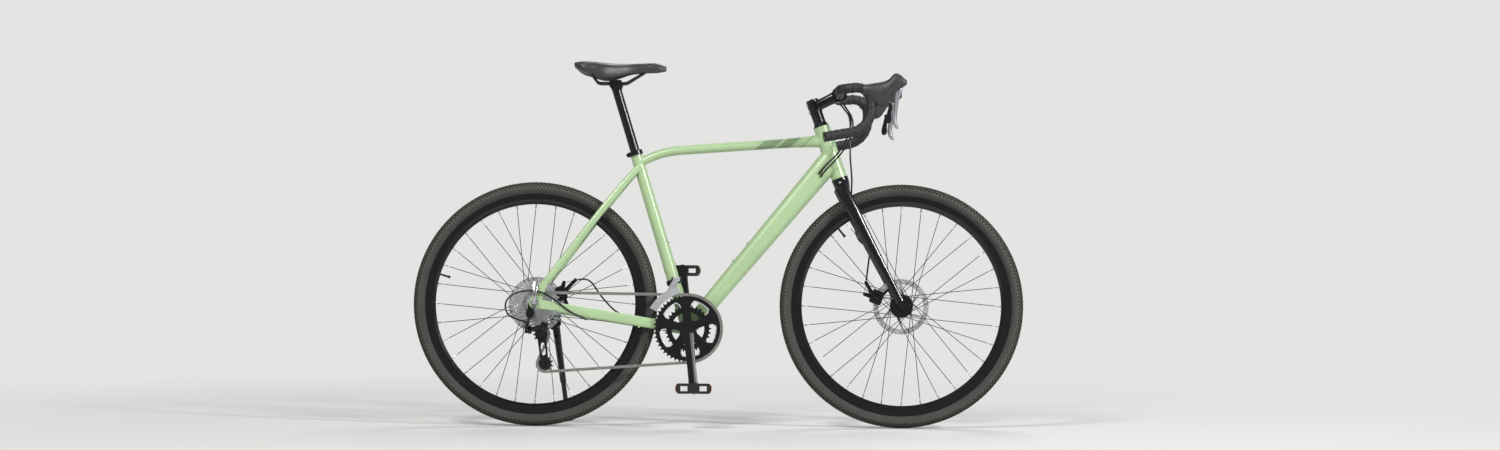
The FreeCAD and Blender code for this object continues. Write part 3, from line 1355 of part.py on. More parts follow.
def roller_phase(which):
    # Angle of one roller that lies on the given wheel of the chain line
    circles = chain_circles(SOLVED_CAGE_ANGLE)
    runs, wraps = chain_runs(SOLVED_CAGE_ANGLE)
    start = 0.0
    for index in range(which):
        start += wraps[index] + runs[index][1] / CHAIN_PITCH
    point = chain_point(math.ceil(start + 0.001))
    center = circles[which][0]
    return math.degrees(math.atan2(point.z - center.z, point.x - center.x))


def link_plate(y0, y1):
    half = CHAIN_PITCH / 2
    return stadium(V(-half, 0, 0), V(half, 0, 0), 4.1, 4.09, y0, y1)


def make_chain():
    half = CHAIN_PITCH / 2
    ends = (V(-half, 0, 0), V(half, 0, 0))
    inner = [link_plate(1.05, 1.85), link_plate(-1.85, -1.05)] + [across(p, -1.05, 1.05, ROLLER_R)
                                                                  for p in ends]
    inner = cut_each(fused(inner), [across(p, -5, 5, 1.95) for p in ends])
    outer = fused([link_plate(2.0, 2.75), link_plate(-2.75, -2.0)] + [across(p, -2.95, 2.95, 1.75)
                                                                      for p in ends])
    links = []
    for index in range(CHAIN_LINKS):
        first = chain_point(index)
        second = chain_point(index + 1)
        along = unit(second - first)
        up = unit(along.cross(Y))
        link = (inner if index % 2 == 0 else outer).copy()
        turn = FreeCAD.Rotation(along, up.cross(along), up, "XYZ")
        link.Placement = FreeCAD.Placement((first + second) * 0.5, turn)
        links.append(link)
    return group(links)


def make_cassette():
    pieces = []
    inner_r = 17.0
    last_y = SPROCKET_FIRST_Y + SPROCKET_PITCH * (len(CASSETTE_TEETH) - 1)
    for index, teeth in enumerate(CASSETTE_TEETH):
        y = SPROCKET_FIRST_Y + SPROCKET_PITCH * index
        phase = roller_phase(0) if index == CHAIN_SPROCKET else 7.0 * index
        cog = toothed(REAR_AXLE, teeth, phase, y - SPROCKET_T / 2, y + SPROCKET_T / 2)
        cuts = [across(REAR_AXLE, y - 5, y + 5, inner_r)]
        if teeth >= 23:
            root = pitch_radius(teeth) - 8.0
            for arm in range(6):
                window = around(REAR_AXLE, 60 * arm + 28 + 5 * index, (root + 24) / 2)
                cuts.append(across(window, y - 5, y + 5, (root - 24) / 2))
        pieces.append(cut_each(cog, cuts))
        if index:
            pieces.append(washer(REAR_AXLE, y - SPROCKET_PITCH + SPROCKET_T / 2, y - SPROCKET_T / 2,
                                 20.0, inner_r))
    end = SPROCKET_FIRST_Y - SPROCKET_T / 2
    core_end = last_y + SPROCKET_T / 2 + 1.0
    pieces.append(washer(REAR_AXLE, end, core_end, inner_r, REAR_AXLE_R + RUNNING_CLEARANCE))
    pieces.append(washer(REAR_AXLE, end - 2.0, end, 18.5, 11.0))
    return group(pieces)


# Rear derailleur

LINK_AXIS = unit(V(0, 0.66, 0.75))
LINK_MOVE = unit(V(0, 0.75, -0.66))
LINK_L = 42.0
LINK_REST = -22.0
HANGER_BOLT = REAR_AXLE + V(-12, -REAR_WIDTH / 2 - DROPOUT_T / 2, -31)
LOOP_END = HANGER_BOLT + V(-21, -16, -22)
LOOP_INTO = unit(V(0.93, 0, -0.36))
LINK_END = GUIDE_PULLEY + V(6, -31, 22)
LINK_START = (LINK_END - V(1, 0, 0) * (LINK_L * math.cos(math.radians(LINK_REST)))
              - LINK_MOVE * (LINK_L * math.sin(math.radians(LINK_REST))))
LINK_PIN_R = 2.5
LINK_HALF = 6.0


def hanger_face():
    return -REAR_WIDTH / 2 - DROPOUT_T


def make_derailleur_hanger():
    face = hanger_face()
    tab = stadium(REAR_AXLE + V(-11, 0, -8), HANGER_BOLT, 8.0, 10.0, face, -REAR_WIDTH / 2)
    tab = tab.cut(fused([stadium(REAR_AXLE, V(62, 0, stay_line_z(62)), DROPOUT_R, 9.0, face - 1,
                                 -REAR_WIDTH / 2 + 1)]))
    tab = largest(tab)
    tab = tab.cut(across(HANGER_BOLT, face - 5, face + 20, 5.0))
    drum = across(HANGER_BOLT, face - 14, face, 12.5)
    bolt = across(HANGER_BOLT, face - 16, face + DROPOUT_T, 5.0)
    reach = LINK_AXIS * LINK_HALF
    ear_top = rod(LINK_START + reach + LINK_AXIS * 0.3, LINK_START + reach + LINK_AXIS * 4.3, 6.5)
    ear_low = rod(LINK_START - reach - LINK_AXIS * 4.3, LINK_START - reach - LINK_AXIS * 0.3, 6.5)
    pin = rod(LINK_START - reach - LINK_AXIS * 4.3, LINK_START + reach + LINK_AXIS * 4.3, LINK_PIN_R)
    anchor = V(HANGER_BOLT.x, face - 7, HANGER_BOLT.z)
    arms = []
    for ear in (LINK_START + LINK_AXIS * (LINK_HALF + 2.3), LINK_START - LINK_AXIS * (LINK_HALF + 2.3)):
        knee = ear + V(-11, 0, 0)
        arms.append(rod(ear, knee, 4.0))
        arms.append(Part.makeSphere(4.0, knee))
        arms.append(rod(knee, anchor, 4.0))
    clear = rod(LINK_START - reach - LINK_AXIS * 0.3, LINK_START + reach + LINK_AXIS * 0.3, 8.5)
    adjuster = rod(LOOP_END + LOOP_INTO * 0.3, LOOP_END + LOOP_INTO * 15, 3.6)
    adjuster_arm = rod(LOOP_END + LOOP_INTO * 12, anchor, 4.0)
    knuckle = fused([drum, ear_top, ear_low, adjuster, adjuster_arm] + arms).cut(clear)
    knuckle = fused([knuckle, pin]).cut(bolt).cut(tab)
    return group([tab, knuckle, bolt])


def make_rear_derailleur_link():
    reach = LINK_AXIS * (LINK_HALF - 0.1)
    ends = [rod(p - reach, p + reach, 6.0) for p in (LINK_START, LINK_END)]
    along = unit(LINK_END - LINK_START)
    wide = unit(LINK_AXIS.cross(along))
    middle = loft([oval(p, wide, LINK_AXIS, 5.0, LINK_HALF - 0.6, 3.0) for p in (LINK_START, LINK_END)])
    body = fused(ends + [middle])
    bores = [rod(p - LINK_AXIS * 20, p + LINK_AXIS * 20, LINK_PIN_R + RUNNING_CLEARANCE)
             for p in (LINK_START, LINK_END)]
    return cut_each(body, bores)


def cage_faces():
    return CHAIN_Y - 7.0, CHAIN_Y - 5.0, CHAIN_Y + 5.0, CHAIN_Y + 7.0


def make_rear_derailleur_knuckle():
    outer, skin, gap, inner = cage_faces()
    face = outer - FACE_GAP
    drum = across(GUIDE_PULLEY, face - 20, face, 12.0)
    reach = LINK_AXIS * LINK_HALF
    ears = [rod(LINK_END + reach + LINK_AXIS * 0.3, LINK_END + reach + LINK_AXIS * 4.3, 6.5),
            rod(LINK_END - reach - LINK_AXIS * 4.3, LINK_END - reach - LINK_AXIS * 0.3, 6.5)]
    pin = rod(LINK_END - reach - LINK_AXIS * 4.3, LINK_END + reach + LINK_AXIS * 4.3, LINK_PIN_R)
    anchor = V(GUIDE_PULLEY.x, face - 12, GUIDE_PULLEY.z)
    arms = []
    for ear in (LINK_END + LINK_AXIS * (LINK_HALF + 2.3), LINK_END - LINK_AXIS * (LINK_HALF + 2.3)):
        knee = ear + V(12, 0, 0)
        arms.append(rod(ear, knee, 4.0))
        arms.append(Part.makeSphere(4.0, knee))
        arms.append(rod(knee, anchor, 4.0))
    clear = rod(LINK_END - reach - LINK_AXIS * 0.3, LINK_END + reach + LINK_AXIS * 0.3, 8.5)
    body = fused([drum] + ears + arms).cut(clear)
    behind = across(GUIDE_PULLEY, face, face + 40, 60.0)
    body = fused([body, pin]).cut(behind)
    return body.cut(across(GUIDE_PULLEY, face - 10, face + 1, 3.0 + RUNNING_CLEARANCE))


def make_rear_derailleur_cage():
    outer, skin, gap, inner = cage_faces()
    low = TENSION_PULLEY
    plates = [stadium(GUIDE_PULLEY, low, 13.0, 11.0, outer, skin),
              stadium(GUIDE_PULLEY, low, 12.0, 11.0, gap, inner)]
    middle = (GUIDE_PULLEY + low) * 0.5
    for index, (y0, y1) in enumerate(((outer, skin), (gap, inner))):
        plates[index] = plates[index].cut(stadium(middle + (GUIDE_PULLEY - low) * 0.14,
                                                  middle - (GUIDE_PULLEY - low) * 0.14,
                                                  6.5, 6.0, y0 - 1, y1 + 1))
    pins = [across(GUIDE_PULLEY, outer - 8, inner + 1.0, 3.0), across(low, outer - 1.5, inner + 1.0, 3.0)]
    return fused(plates + pins)


def make_pulley(center, phase):
    wheel = toothed(center, PULLEY_TEETH, phase, CHAIN_Y - 1.0, CHAIN_Y + 1.0)
    hub = across(center, CHAIN_Y - 4.6, CHAIN_Y + 4.6, 7.0)
    return fused([wheel, hub]).cut(across(center, CHAIN_Y - 20, CHAIN_Y + 20, 3.0 + RUNNING_CLEARANCE))


# Front derailleur

FD_CLAMP_UP = 142.0
FD_PIN = BB + SEAT * FD_CLAMP_UP + V(8, -34, 6)


def make_front_derailleur_clamp():
    skin = SEAT_TUBE_FOOT_R + (SEAT_TUBE_TOP_R - SEAT_TUBE_FOOT_R) * FD_CLAMP_UP / SEAT_TUBE_L
    low = BB + SEAT * (FD_CLAMP_UP - 7)
    high = BB + SEAT * (FD_CLAMP_UP + 7)
    band = rod(low, high, skin + 3.5)
    ears = []
    for x0, x1 in ((-15.0, -10.5), (10.5, 15.0)):
        ear = rod(FD_PIN + V(x0, 0, 0), FD_PIN + V(x1, 0, 0), 6.0)
        bar = block(FD_PIN.x + x0, FD_PIN.x + x1, FD_PIN.y, -8.0, FD_PIN.z - 6, FD_PIN.z + 6)
        ears.append(fused([ear, bar]))
    bridge = block(FD_PIN.x - 15, FD_PIN.x + 15, -22.0, -12.0, FD_PIN.z - 6, FD_PIN.z + 6)
    pin = rod(FD_PIN - V(15, 0, 0), FD_PIN + V(15, 0, 0), 2.5)
    body = fused([band, bridge, pin] + ears)
    return body.cut(cone(BB, SEAT_TOP, SEAT_TUBE_FOOT_R, SEAT_TUBE_TOP_R))


def make_front_derailleur_cage():
    inner_r = pitch_radius(RING_TEETH) + 5.5
    outer_r = inner_r + 21.0
    plates = []
    for y0, y1 in ((RING_Y - 6.7, RING_Y - 5.3), (RING_Y + 4.6, RING_Y + 6.0)):
        points = []
        for step in range(9):
            p = around(BB, 104.0 + 6.0 * step, outer_r)
            points.append((p.x, p.z))
        for step in range(8, -1, -1):
            p = around(BB, 104.0 + 6.0 * step, inner_r)
            points.append((p.x, p.z))
        plates.append(prism(points, y0, y1))
    tail = around(BB, 150.0, outer_r - 4.0)
    nose = around(BB, 107.0, outer_r - 3.0)
    ties = [across(p, RING_Y - 6.0, RING_Y + 5.5, 2.5) for p in (tail, nose)]
    eye = rod(FD_PIN - V(10, 0, 0), FD_PIN + V(10, 0, 0), 6.0)
    perch = around(BB, 117.0, outer_r - 3.0)
    y0 = RING_Y + 4.6
    arm_outline = [(FD_PIN.x - 9, FD_PIN.z), (FD_PIN.x + 9, FD_PIN.z), (perch.x + 10, perch.z),
                   (perch.x - 10, perch.z - 6)]
    arm = prism(arm_outline, y0, y0 + 4.0)
    bridge = block(FD_PIN.x - 9, FD_PIN.x + 9, y0, FD_PIN.y, FD_PIN.z - 5, FD_PIN.z + 5)
    body = fused(plates + ties + [eye, arm, bridge])
    return body.cut(rod(FD_PIN - V(30, 0, 0), FD_PIN + V(30, 0, 0), 2.5 + RUNNING_CLEARANCE))


# Side stand

STAND_PIN = REAR_AXLE + V(52, REAR_WIDTH / 2 + DROPOUT_T + 16.5, -55)
STAND_FOOT = V(STAND_FOOT_X, STAND_FOOT_Y, STAND_FOOT_Y * math.tan(math.radians(LEAN)))
STAND_LEG = unit(STAND_FOOT - STAND_PIN)
STAND_FOLDED = unit(V(-0.93, 0.10, 0.35))
STAND_AXIS = unit(STAND_LEG.cross(STAND_FOLDED))
STAND_SWING = math.degrees(STAND_LEG.getAngle(STAND_FOLDED))


def make_kickstand_bracket():
    face = REAR_WIDTH / 2 + DROPOUT_T
    outline = [(26, TYRE_R - 16), (66, TYRE_R - 21), (72, TYRE_R - 60), (44, TYRE_R - 64)]
    plate = rounded_prism(outline, 6.0, face, face + 7)
    drum = rod(STAND_PIN - STAND_AXIS * 13, STAND_PIN - STAND_AXIS * FACE_GAP, 13.0)
    pin = rod(STAND_PIN - STAND_AXIS * 5, STAND_PIN + STAND_AXIS * 17, 5.0)
    wheel_side = block(-100, 200, face - 60, face, 0, 600)
    bolts = [across(V(x, 0, z), face + 7, face + 11, 4.5)
             for x, z in ((38, TYRE_R - 24), (58, TYRE_R - 28))]
    return group([fused([plate, drum, pin]).cut(wheel_side)] + bolts)


def make_kickstand_leg():
    drum = rod(STAND_PIN, STAND_PIN + STAND_AXIS * 16, 13.0)
    start = STAND_PIN + STAND_AXIS * 8
    length = (STAND_FOOT - STAND_PIN).Length
    end = STAND_PIN + STAND_LEG * (length - 10)
    pieces = [drum]
    points = [start + (end - start) * part for part in (0.0, 0.25, 0.62)]
    pieces.append(cone(points[0], points[1], 11.5, 10.0))
    pieces.append(cone(points[1], points[2], 10.0, STAND_R + 1.0))
    pieces.append(rod(points[2], end, STAND_R - 1.0))
    leg = fused(pieces).cut(rod(STAND_PIN - STAND_AXIS * 5, STAND_PIN + STAND_AXIS * 40,
                                5.0 + RUNNING_CLEARANCE))
    leg = leg.cut(rod(STAND_PIN - STAND_AXIS * 40, STAND_PIN, 40.0))
    # Rubber foot with its sole flat on the ground
    ground = unit(V(0, -math.sin(math.radians(LEAN)), math.cos(math.radians(LEAN))))
    sole = rod(STAND_FOOT - STAND_LEG * 34, STAND_FOOT + STAND_LEG * 14, STAND_R + 5.0)
    below = rod(STAND_FOOT - ground * 80, STAND_FOOT, 120.0)
    foot = sole.cut(below).cut(leg)
    foot = largest(foot)
    return group([leg, foot])


# Cables

def make_front_brake_cable():
    stop = cable_stop(FRONT_AXLE, FRONT_CALIPER_ANGLE, FRONT_ROTOR_Y, FRONT_ARM_ANGLE, FRONT_PULL)
    pull = unit(FRONT_PULL)
    upper = hose([BAR + V(-2, 62, -14.4), BAR + V(36, 52, -60), st(60, 52, 20), st(-10, 34, 40),
                  st(-40, 22, 60),
                  st(-90, 4, 67), st(-180, -8, 70), stop + pull * 60, stop + pull * 6.2], CABLE_R)
    inner = rod(stop + pull * 6.2, stop - pull * 29.7, 0.8).cut(upper)
    return group([upper, inner])


def make_frame_cables():
    head = HEAD_FOOT + STEER * DOWN_TUBE_ABOVE_FOOT
    direction = unit(head - BB)
    port_at = head - direction * 62
    port = V(port_at.x, -DOWN_TUBE_HALF_W - CABLE_R - 0.2, port_at.z)
    into = direction * -1
    shift = hose([BAR + V(-2, -57, -14.4), BAR + V(34, -60, -62), BAR + V(22, -52, -130),
                  port - into * 70 + V(14, -14, 8),
                  port - into * 24 + V(0, -3, 0), port + V(0, 1.1, 0)], CABLE_R)
    brake = hose([BAR + V(-2, -64, -14.4), BAR + V(40, -74, -70), BAR + V(26, -66, -140),
                  port - into * 74 + V(16, -22, -2),
                  port - into * 28 + V(4, -9, -9), port + V(6, 1.9, -9)], CABLE_R)
    # Loop from the right chainstay round to the rear derailleur
    y = -REAR_WIDTH / 2 - DROPOUT_T - 4.0
    loop = hose([V(150, -58, stay_line_z(150) - 21.2), V(100, -72, stay_line_z(100) - 6),
                 V(40, y - 2, TYRE_R + 22),
                 V(-10, y - 3, TYRE_R + 33), V(-58, y - 6, TYRE_R + 24), V(-82, y - 8, TYRE_R - 6),
                 V(-70, y - 9, TYRE_R - 40), LOOP_END], CABLE_R)
    stop = cable_stop(REAR_AXLE, REAR_CALIPER_ANGLE, REAR_ROTOR_Y, REAR_ARM_ANGLE, REAR_PULL)
    pull = unit(REAR_PULL)
    rear = hose([V(300, 42.9, stay_line_z(300) + 6), V(230, 50, stay_line_z(230) + 18),
                 V(175, 64, TYRE_R + 40),
                 stop + pull * 26, stop + pull * 6.2], CABLE_R)
    wire = rod(stop + pull * 6.2, stop - pull * 29.7, 0.8).cut(rear)
    return group([shift, brake, loop, rear, wire])


# Placing: lean onto the stand, then the middle of the footprint to the origin

BAR_END = bar_corners(1)[4]
SHIFT = V(-WHEELBASE / 2, -BAR_END.z * math.sin(math.radians(LEAN)),
          TYRE_WIDTH / 2 * (1 - math.cos(math.radians(LEAN))))


def lean_vector(vector):
    turn = math.radians(LEAN)
    return V(vector.x, vector.y * math.cos(turn) + vector.z * math.sin(turn),
             vector.z * math.cos(turn) - vector.y * math.sin(turn))


def placed_point(point):
    return lean_vector(point) + SHIFT


def placed(shape):
    whole = shape.copy()
    whole.rotate(V(0, 0, 0), V(1, 0, 0), -LEAN)
    whole.translate(SHIFT)
    return whole


FRONT_FLANGES = (22.0, -34.0)
REAR_FLANGES = (33.0, -19.0)


def build_nodes():
    front = spoke_lines(FRONT_AXLE, *FRONT_FLANGES)
    rear = spoke_lines(REAR_AXLE, *REAR_FLANGES)
    nodes = {}
    nodes["tyre_front"] = make_tyre(FRONT_AXLE)
    nodes["rim_front"] = make_rim(FRONT_AXLE, front, 129.375)
    nodes["spokes_front"] = make_spokes(front)
    nodes["hub_front"] = make_hub(FRONT_AXLE, *FRONT_FLANGES, FRONT_WIDTH / 2 - 7.5,
                                  -FRONT_WIDTH / 2 + 7.5,
                                  FRONT_AXLE_R, FRONT_ROTOR_Y)
    nodes["rotor_front"] = make_rotor(FRONT_AXLE, FRONT_ROTOR_Y)
    nodes["front_axle"] = make_front_axle()
    nodes["tyre_rear"] = make_tyre(REAR_AXLE)
    nodes["rim_rear"] = make_rim(REAR_AXLE, rear, 163.125)
    nodes["spokes_rear"] = make_spokes(rear)
    nodes["hub_rear"] = make_hub(REAR_AXLE, *REAR_FLANGES, REAR_WIDTH / 2 - 7.5, -24.0, REAR_AXLE_R,
                                 REAR_ROTOR_Y)
    nodes["rotor_rear"] = make_rotor(REAR_AXLE, REAR_ROTOR_Y)
    nodes["rear_skewer"] = make_rear_skewer()
    nodes["skewer_lever"] = make_skewer_lever()
    nodes["head_tube"] = make_head_tube()
    nodes["seat_tube"] = make_seat_tube()
    nodes["bb_shell"] = make_bb_shell()
    nodes["top_tube"] = make_top_tube()
    nodes["down_tube"] = make_down_tube()
    nodes["dropouts"] = make_dropouts()
    nodes["chainstays"] = make_chainstays()
    nodes["seatstays"] = make_seatstays()
    nodes["bearing_cups"] = make_bearing_cups()
    nodes["seat_clamp"] = make_seat_clamp()
    nodes["frame_bolts"] = make_frame_bolts()
    nodes["fork"] = make_fork()
    nodes["headset_spacers"] = make_headset_spacers()
    nodes["stem"] = make_stem()
    nodes["handlebar"] = make_handlebar()
    nodes["bar_tape"] = make_bar_tape()
    nodes["brake_hoods"] = make_brake_hoods()
    nodes["brake_lever_left"] = lever_solid(1)
    nodes["brake_lever_right"] = lever_solid(-1)
    nodes["shift_paddle_left"] = paddle_solid(1)
    nodes["shift_paddle_right"] = paddle_solid(-1)
    nodes["front_caliper"] = make_front_caliper()
    nodes["front_caliper_arm"] = caliper_arm(FRONT_AXLE, FRONT_CALIPER_ANGLE, FRONT_ROTOR_Y,
                                             FRONT_ARM_ANGLE)
    nodes["rear_caliper"] = make_rear_caliper()
    nodes["rear_caliper_arm"] = caliper_arm(REAR_AXLE, REAR_CALIPER_ANGLE, REAR_ROTOR_Y, REAR_ARM_ANGLE)
    nodes["seatpost"] = make_seatpost()
    nodes["saddle_cover"] = make_saddle_cover()
    nodes["saddle_rails"] = make_saddle_rails()
    nodes["crank_right"] = make_crank_right()
    nodes["crank_left"] = make_crank_left()
    nodes["chainrings"] = make_chainrings(roller_phase(3))
    nodes["pedal_right"] = make_pedal(-1, CRANK_DIR)
    nodes["pedal_left"] = make_pedal(1, CRANK_DIR * -1)
    nodes["chain"] = make_chain()
    nodes["cassette"] = make_cassette()
    nodes["derailleur_hanger"] = make_derailleur_hanger()
    nodes["rear_derailleur_link"] = make_rear_derailleur_link()
    nodes["rear_derailleur_knuckle"] = make_rear_derailleur_knuckle()
    nodes["rear_derailleur_cage"] = make_rear_derailleur_cage()
    nodes["upper_pulley"] = make_pulley(GUIDE_PULLEY, roller_phase(1))
    nodes["lower_pulley"] = make_pulley(TENSION_PULLEY, roller_phase(2))
    nodes["front_derailleur_clamp"] = make_front_derailleur_clamp()
    nodes["front_derailleur_cage"] = make_front_derailleur_cage()
    nodes["kickstand_bracket"] = make_kickstand_bracket()
    nodes["kickstand_leg"] = make_kickstand_leg()
    nodes["front_brake_cable"] = make_front_brake_cable()
    nodes["frame_cables"] = make_frame_cables()
    return nodes


def main():
    os.makedirs("parts", exist_ok=True)
    for name, shape in build_nodes().items():
        placed(shape).exportStep("parts/" + name + ".step")


if __name__ == "__main__":
    main()
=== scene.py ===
import json
import math

import bmesh
import bpy
from mathutils import Matrix, Vector as V
from mathutils.bvhtree import BVHTree


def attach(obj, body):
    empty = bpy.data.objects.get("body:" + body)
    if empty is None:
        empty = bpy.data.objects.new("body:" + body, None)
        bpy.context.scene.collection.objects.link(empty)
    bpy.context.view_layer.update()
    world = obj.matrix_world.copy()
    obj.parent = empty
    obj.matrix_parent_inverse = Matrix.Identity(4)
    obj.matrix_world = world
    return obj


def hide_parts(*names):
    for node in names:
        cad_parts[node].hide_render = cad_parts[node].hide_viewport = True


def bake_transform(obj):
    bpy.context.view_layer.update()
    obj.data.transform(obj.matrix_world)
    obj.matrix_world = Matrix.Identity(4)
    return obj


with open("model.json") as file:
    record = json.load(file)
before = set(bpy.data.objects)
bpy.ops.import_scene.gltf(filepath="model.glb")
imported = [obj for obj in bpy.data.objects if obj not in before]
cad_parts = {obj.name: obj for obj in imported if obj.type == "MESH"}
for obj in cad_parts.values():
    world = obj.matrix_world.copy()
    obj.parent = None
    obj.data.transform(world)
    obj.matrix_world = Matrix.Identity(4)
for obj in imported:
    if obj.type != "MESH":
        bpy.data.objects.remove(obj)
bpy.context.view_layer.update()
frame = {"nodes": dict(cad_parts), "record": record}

NODES = frame["nodes"]

# Placing: millimetres in the upright bike's own frame to metres in the row frame
LEAN = math.radians(4.5)
SHIFT = V((-526.5, -64.368, 0.062))
PLACE = Matrix.Scale(0.001, 4) @ Matrix.Translation(SHIFT) @ Matrix.Rotation(-LEAN, 4, "X")
UPRIGHT = PLACE.inverted()

# Points of the bike that the pieces are set out from
REAR_AXLE = V((0.0, 0.0, 351.0))
FRONT_AXLE = V((1053.0, 0.0, 351.0))
BB = V((439.46, 0.0, 281.0))
BAR = V((870.528, 0.0, 959.4))
CROWN = V((874.321, 0.0, 714.454))
STEER = V((-0.33874, 0.0, 0.94088))
AHEAD = V((0.94088, 0.0, 0.33874))
HEAD_FOOT = V((872.627, 0.0, 719.158))
HANGER_BOLT = V((-12.0, -70.5, 320.0))
SEAT_TOP = V((282.749, 0.0, 793.579))
DOWN_HEAD = HEAD_FOOT + STEER * 62.0
CRANK_ANGLE = -84.0
CRANK_DIR = V((math.cos(math.radians(CRANK_ANGLE)), 0.0, math.sin(math.radians(CRANK_ANGLE))))
CRANK_LENGTH = 175.0


def at(x, y, z):
    # A point of the upright bike, in the row frame
    return PLACE @ V((x, y, z))


def st(up, ahead, y):
    # A point set out from the crown along the steering axis and ahead of it
    return CROWN + STEER * up + AHEAD * ahead + V((0, y, 0))


# Materials

def linear(r, g, b):
    out = []
    for value in (r, g, b):
        c = value / 255.0
        out.append(c / 12.92 if c <= 0.04045 else ((c + 0.055) / 1.055) ** 2.4)
    return (out[0], out[1], out[2], 1.0)


def node(tree, kind, **values):
    made = tree.nodes.new(kind)
    for key, value in values.items():
        if key.startswith("in_"):
            made.inputs[key[3:].replace("_", " ")].default_value = value
        else:
            setattr(made, key, value)
    return made


def join(tree, a, a_out, b, b_in):
    tree.links.new(a.outputs[a_out], b.inputs[b_in])


def surface(name, rgb, rough, metal=0.0, vary=0.12, scale=25.0, grain=0.1, grain_scale=600.0, coat=0.0):
    # Colour and roughness drift with a broad noise, a fine noise gives the grain
    mat = bpy.data.materials.new(name)
    mat.use_nodes = True
    tree = mat.node_tree
    shader = tree.nodes["Principled BSDF"]
    shader.inputs["Metallic"].default_value = metal
    shader.inputs["Coat Weight"].default_value = coat
    shader.inputs["Coat Roughness"].default_value = 0.12
    place = node(tree, "ShaderNodeTexCoord")
    broad = node(tree, "ShaderNodeTexNoise", in_Scale=scale, in_Detail=6.0, in_Roughness=0.6)
    join(tree, place, "Object", broad, "Vector")
    color = linear(*rgb)
    low = [c * (1.0 - vary) for c in color[:3]]
    high = [min(1.0, c * (1.0 + vary)) for c in color[:3]]
    ramp = node(tree, "ShaderNodeValToRGB")
    ramp.color_ramp.elements[0].position = 0.35
    ramp.color_ramp.elements[0].color = low + [1.0]
    ramp.color_ramp.elements[1].position = 0.65
    ramp.color_ramp.elements[1].color = high + [1.0]
    join(tree, broad, "Fac", ramp, "Fac")
    join(tree, ramp, "Color", shader, "Base Color")
    spread = node(tree, "ShaderNodeMapRange")
    spread.inputs["To Min"].default_value = max(0.03, rough * 0.85)
    spread.inputs["To Max"].default_value = min(1.0, rough * 1.18)
    join(tree, broad, "Fac", spread, "Value")
    join(tree, spread, "Result", shader, "Roughness")
    fine = node(tree, "ShaderNodeTexNoise", in_Scale=grain_scale, in_Detail=3.0)
    join(tree, place, "Object", fine, "Vector")
    bump = node(tree, "ShaderNodeBump", in_Strength=grain, in_Distance=0.0006)
    join(tree, fine, "Fac", bump, "Height")
    join(tree, bump, "Normal", shader, "Normal")
    return mat


def between(tree, value, low, high):
    # One where a value lies between two bounds, in millimetres
    inside = node(tree, "ShaderNodeMath", operation="COMPARE")
    inside.inputs[1].default_value = (low + high) / 2000.0
    inside.inputs[2].default_value = (high - low) / 2000.0
    tree.links.new(value, inside.inputs[0])
    return inside.outputs[0]


def product(tree, a, b):
    both = node(tree, "ShaderNodeMath", operation="MULTIPLY")
    tree.links.new(a, both.inputs[0])
    tree.links.new(b, both.inputs[1])
    return both.outputs[0]


def tinted(tree, mask, color_from, rgb):
    # Another colour where the mask is one
    mix = node(tree, "ShaderNodeMix", data_type="RGBA")
    mix.inputs[7].default_value = linear(*rgb)
    tree.links.new(mask, mix.inputs[0])
    tree.links.new(color_from, mix.inputs[6])
    return mix.outputs[2]


def valued(tree, mask, base, value):
    # Another value where the mask is one, over a number or an earlier socket
    mix = node(tree, "ShaderNodeMix", data_type="FLOAT")
    mix.inputs[3].default_value = value
    tree.links.new(mask, mix.inputs[0])
    if isinstance(base, float):
        mix.inputs[2].default_value = base
    else:
        tree.links.new(base, mix.inputs[2])
    return mix.outputs[0]


def offset_from(tree, center):
    # The rest position of each point, from a point of the upright bike
    place = node(tree, "ShaderNodeTexCoord")
    away = node(tree, "ShaderNodeVectorMath", operation="SUBTRACT")
    away.inputs[1].default_value = at(*center)
    join(tree, place, "Object", away, 0)
    return away


def radius_mask(tree, center):
    # Distance from a wheel's axle, in metres
    cross = node(tree, "ShaderNodeVectorMath", operation="CROSS_PRODUCT")
    cross.inputs[1].default_value = V((0.0, math.cos(LEAN), -math.sin(LEAN)))
    join(tree, offset_from(tree, center), "Vector", cross, 0)
    length = node(tree, "ShaderNodeVectorMath", operation="LENGTH")
    join(tree, cross, "Vector", length, 0)
    return length.outputs["Value"]


def copied(name, base):
    mat = base.copy()
    mat.name = name
    return mat, mat.node_tree, mat.node_tree.nodes["Principled BSDF"]


def banded(name, base, center, bands):
    # A copy of a material with other colours, metal and roughness between given radii
    mat, tree, shader = copied(name, base)
    color = shader.inputs["Base Color"].links[0].from_socket
    rough = shader.inputs["Roughness"].links[0].from_socket
    metal = shader.inputs["Metallic"].default_value
    radius = radius_mask(tree, center)
    for start, stop, band_rgb, band_metal, band_rough in bands:
        mask = between(tree, radius, start, stop)
        color = tinted(tree, mask, color, band_rgb)
        rough = valued(tree, mask, rough, band_rough)
        metal = valued(tree, mask, metal, band_metal)
    tree.links.new(color, shader.inputs["Base Color"])
    tree.links.new(rough, shader.inputs["Roughness"])
    tree.links.new(metal, shader.inputs["Metallic"])
    return mat


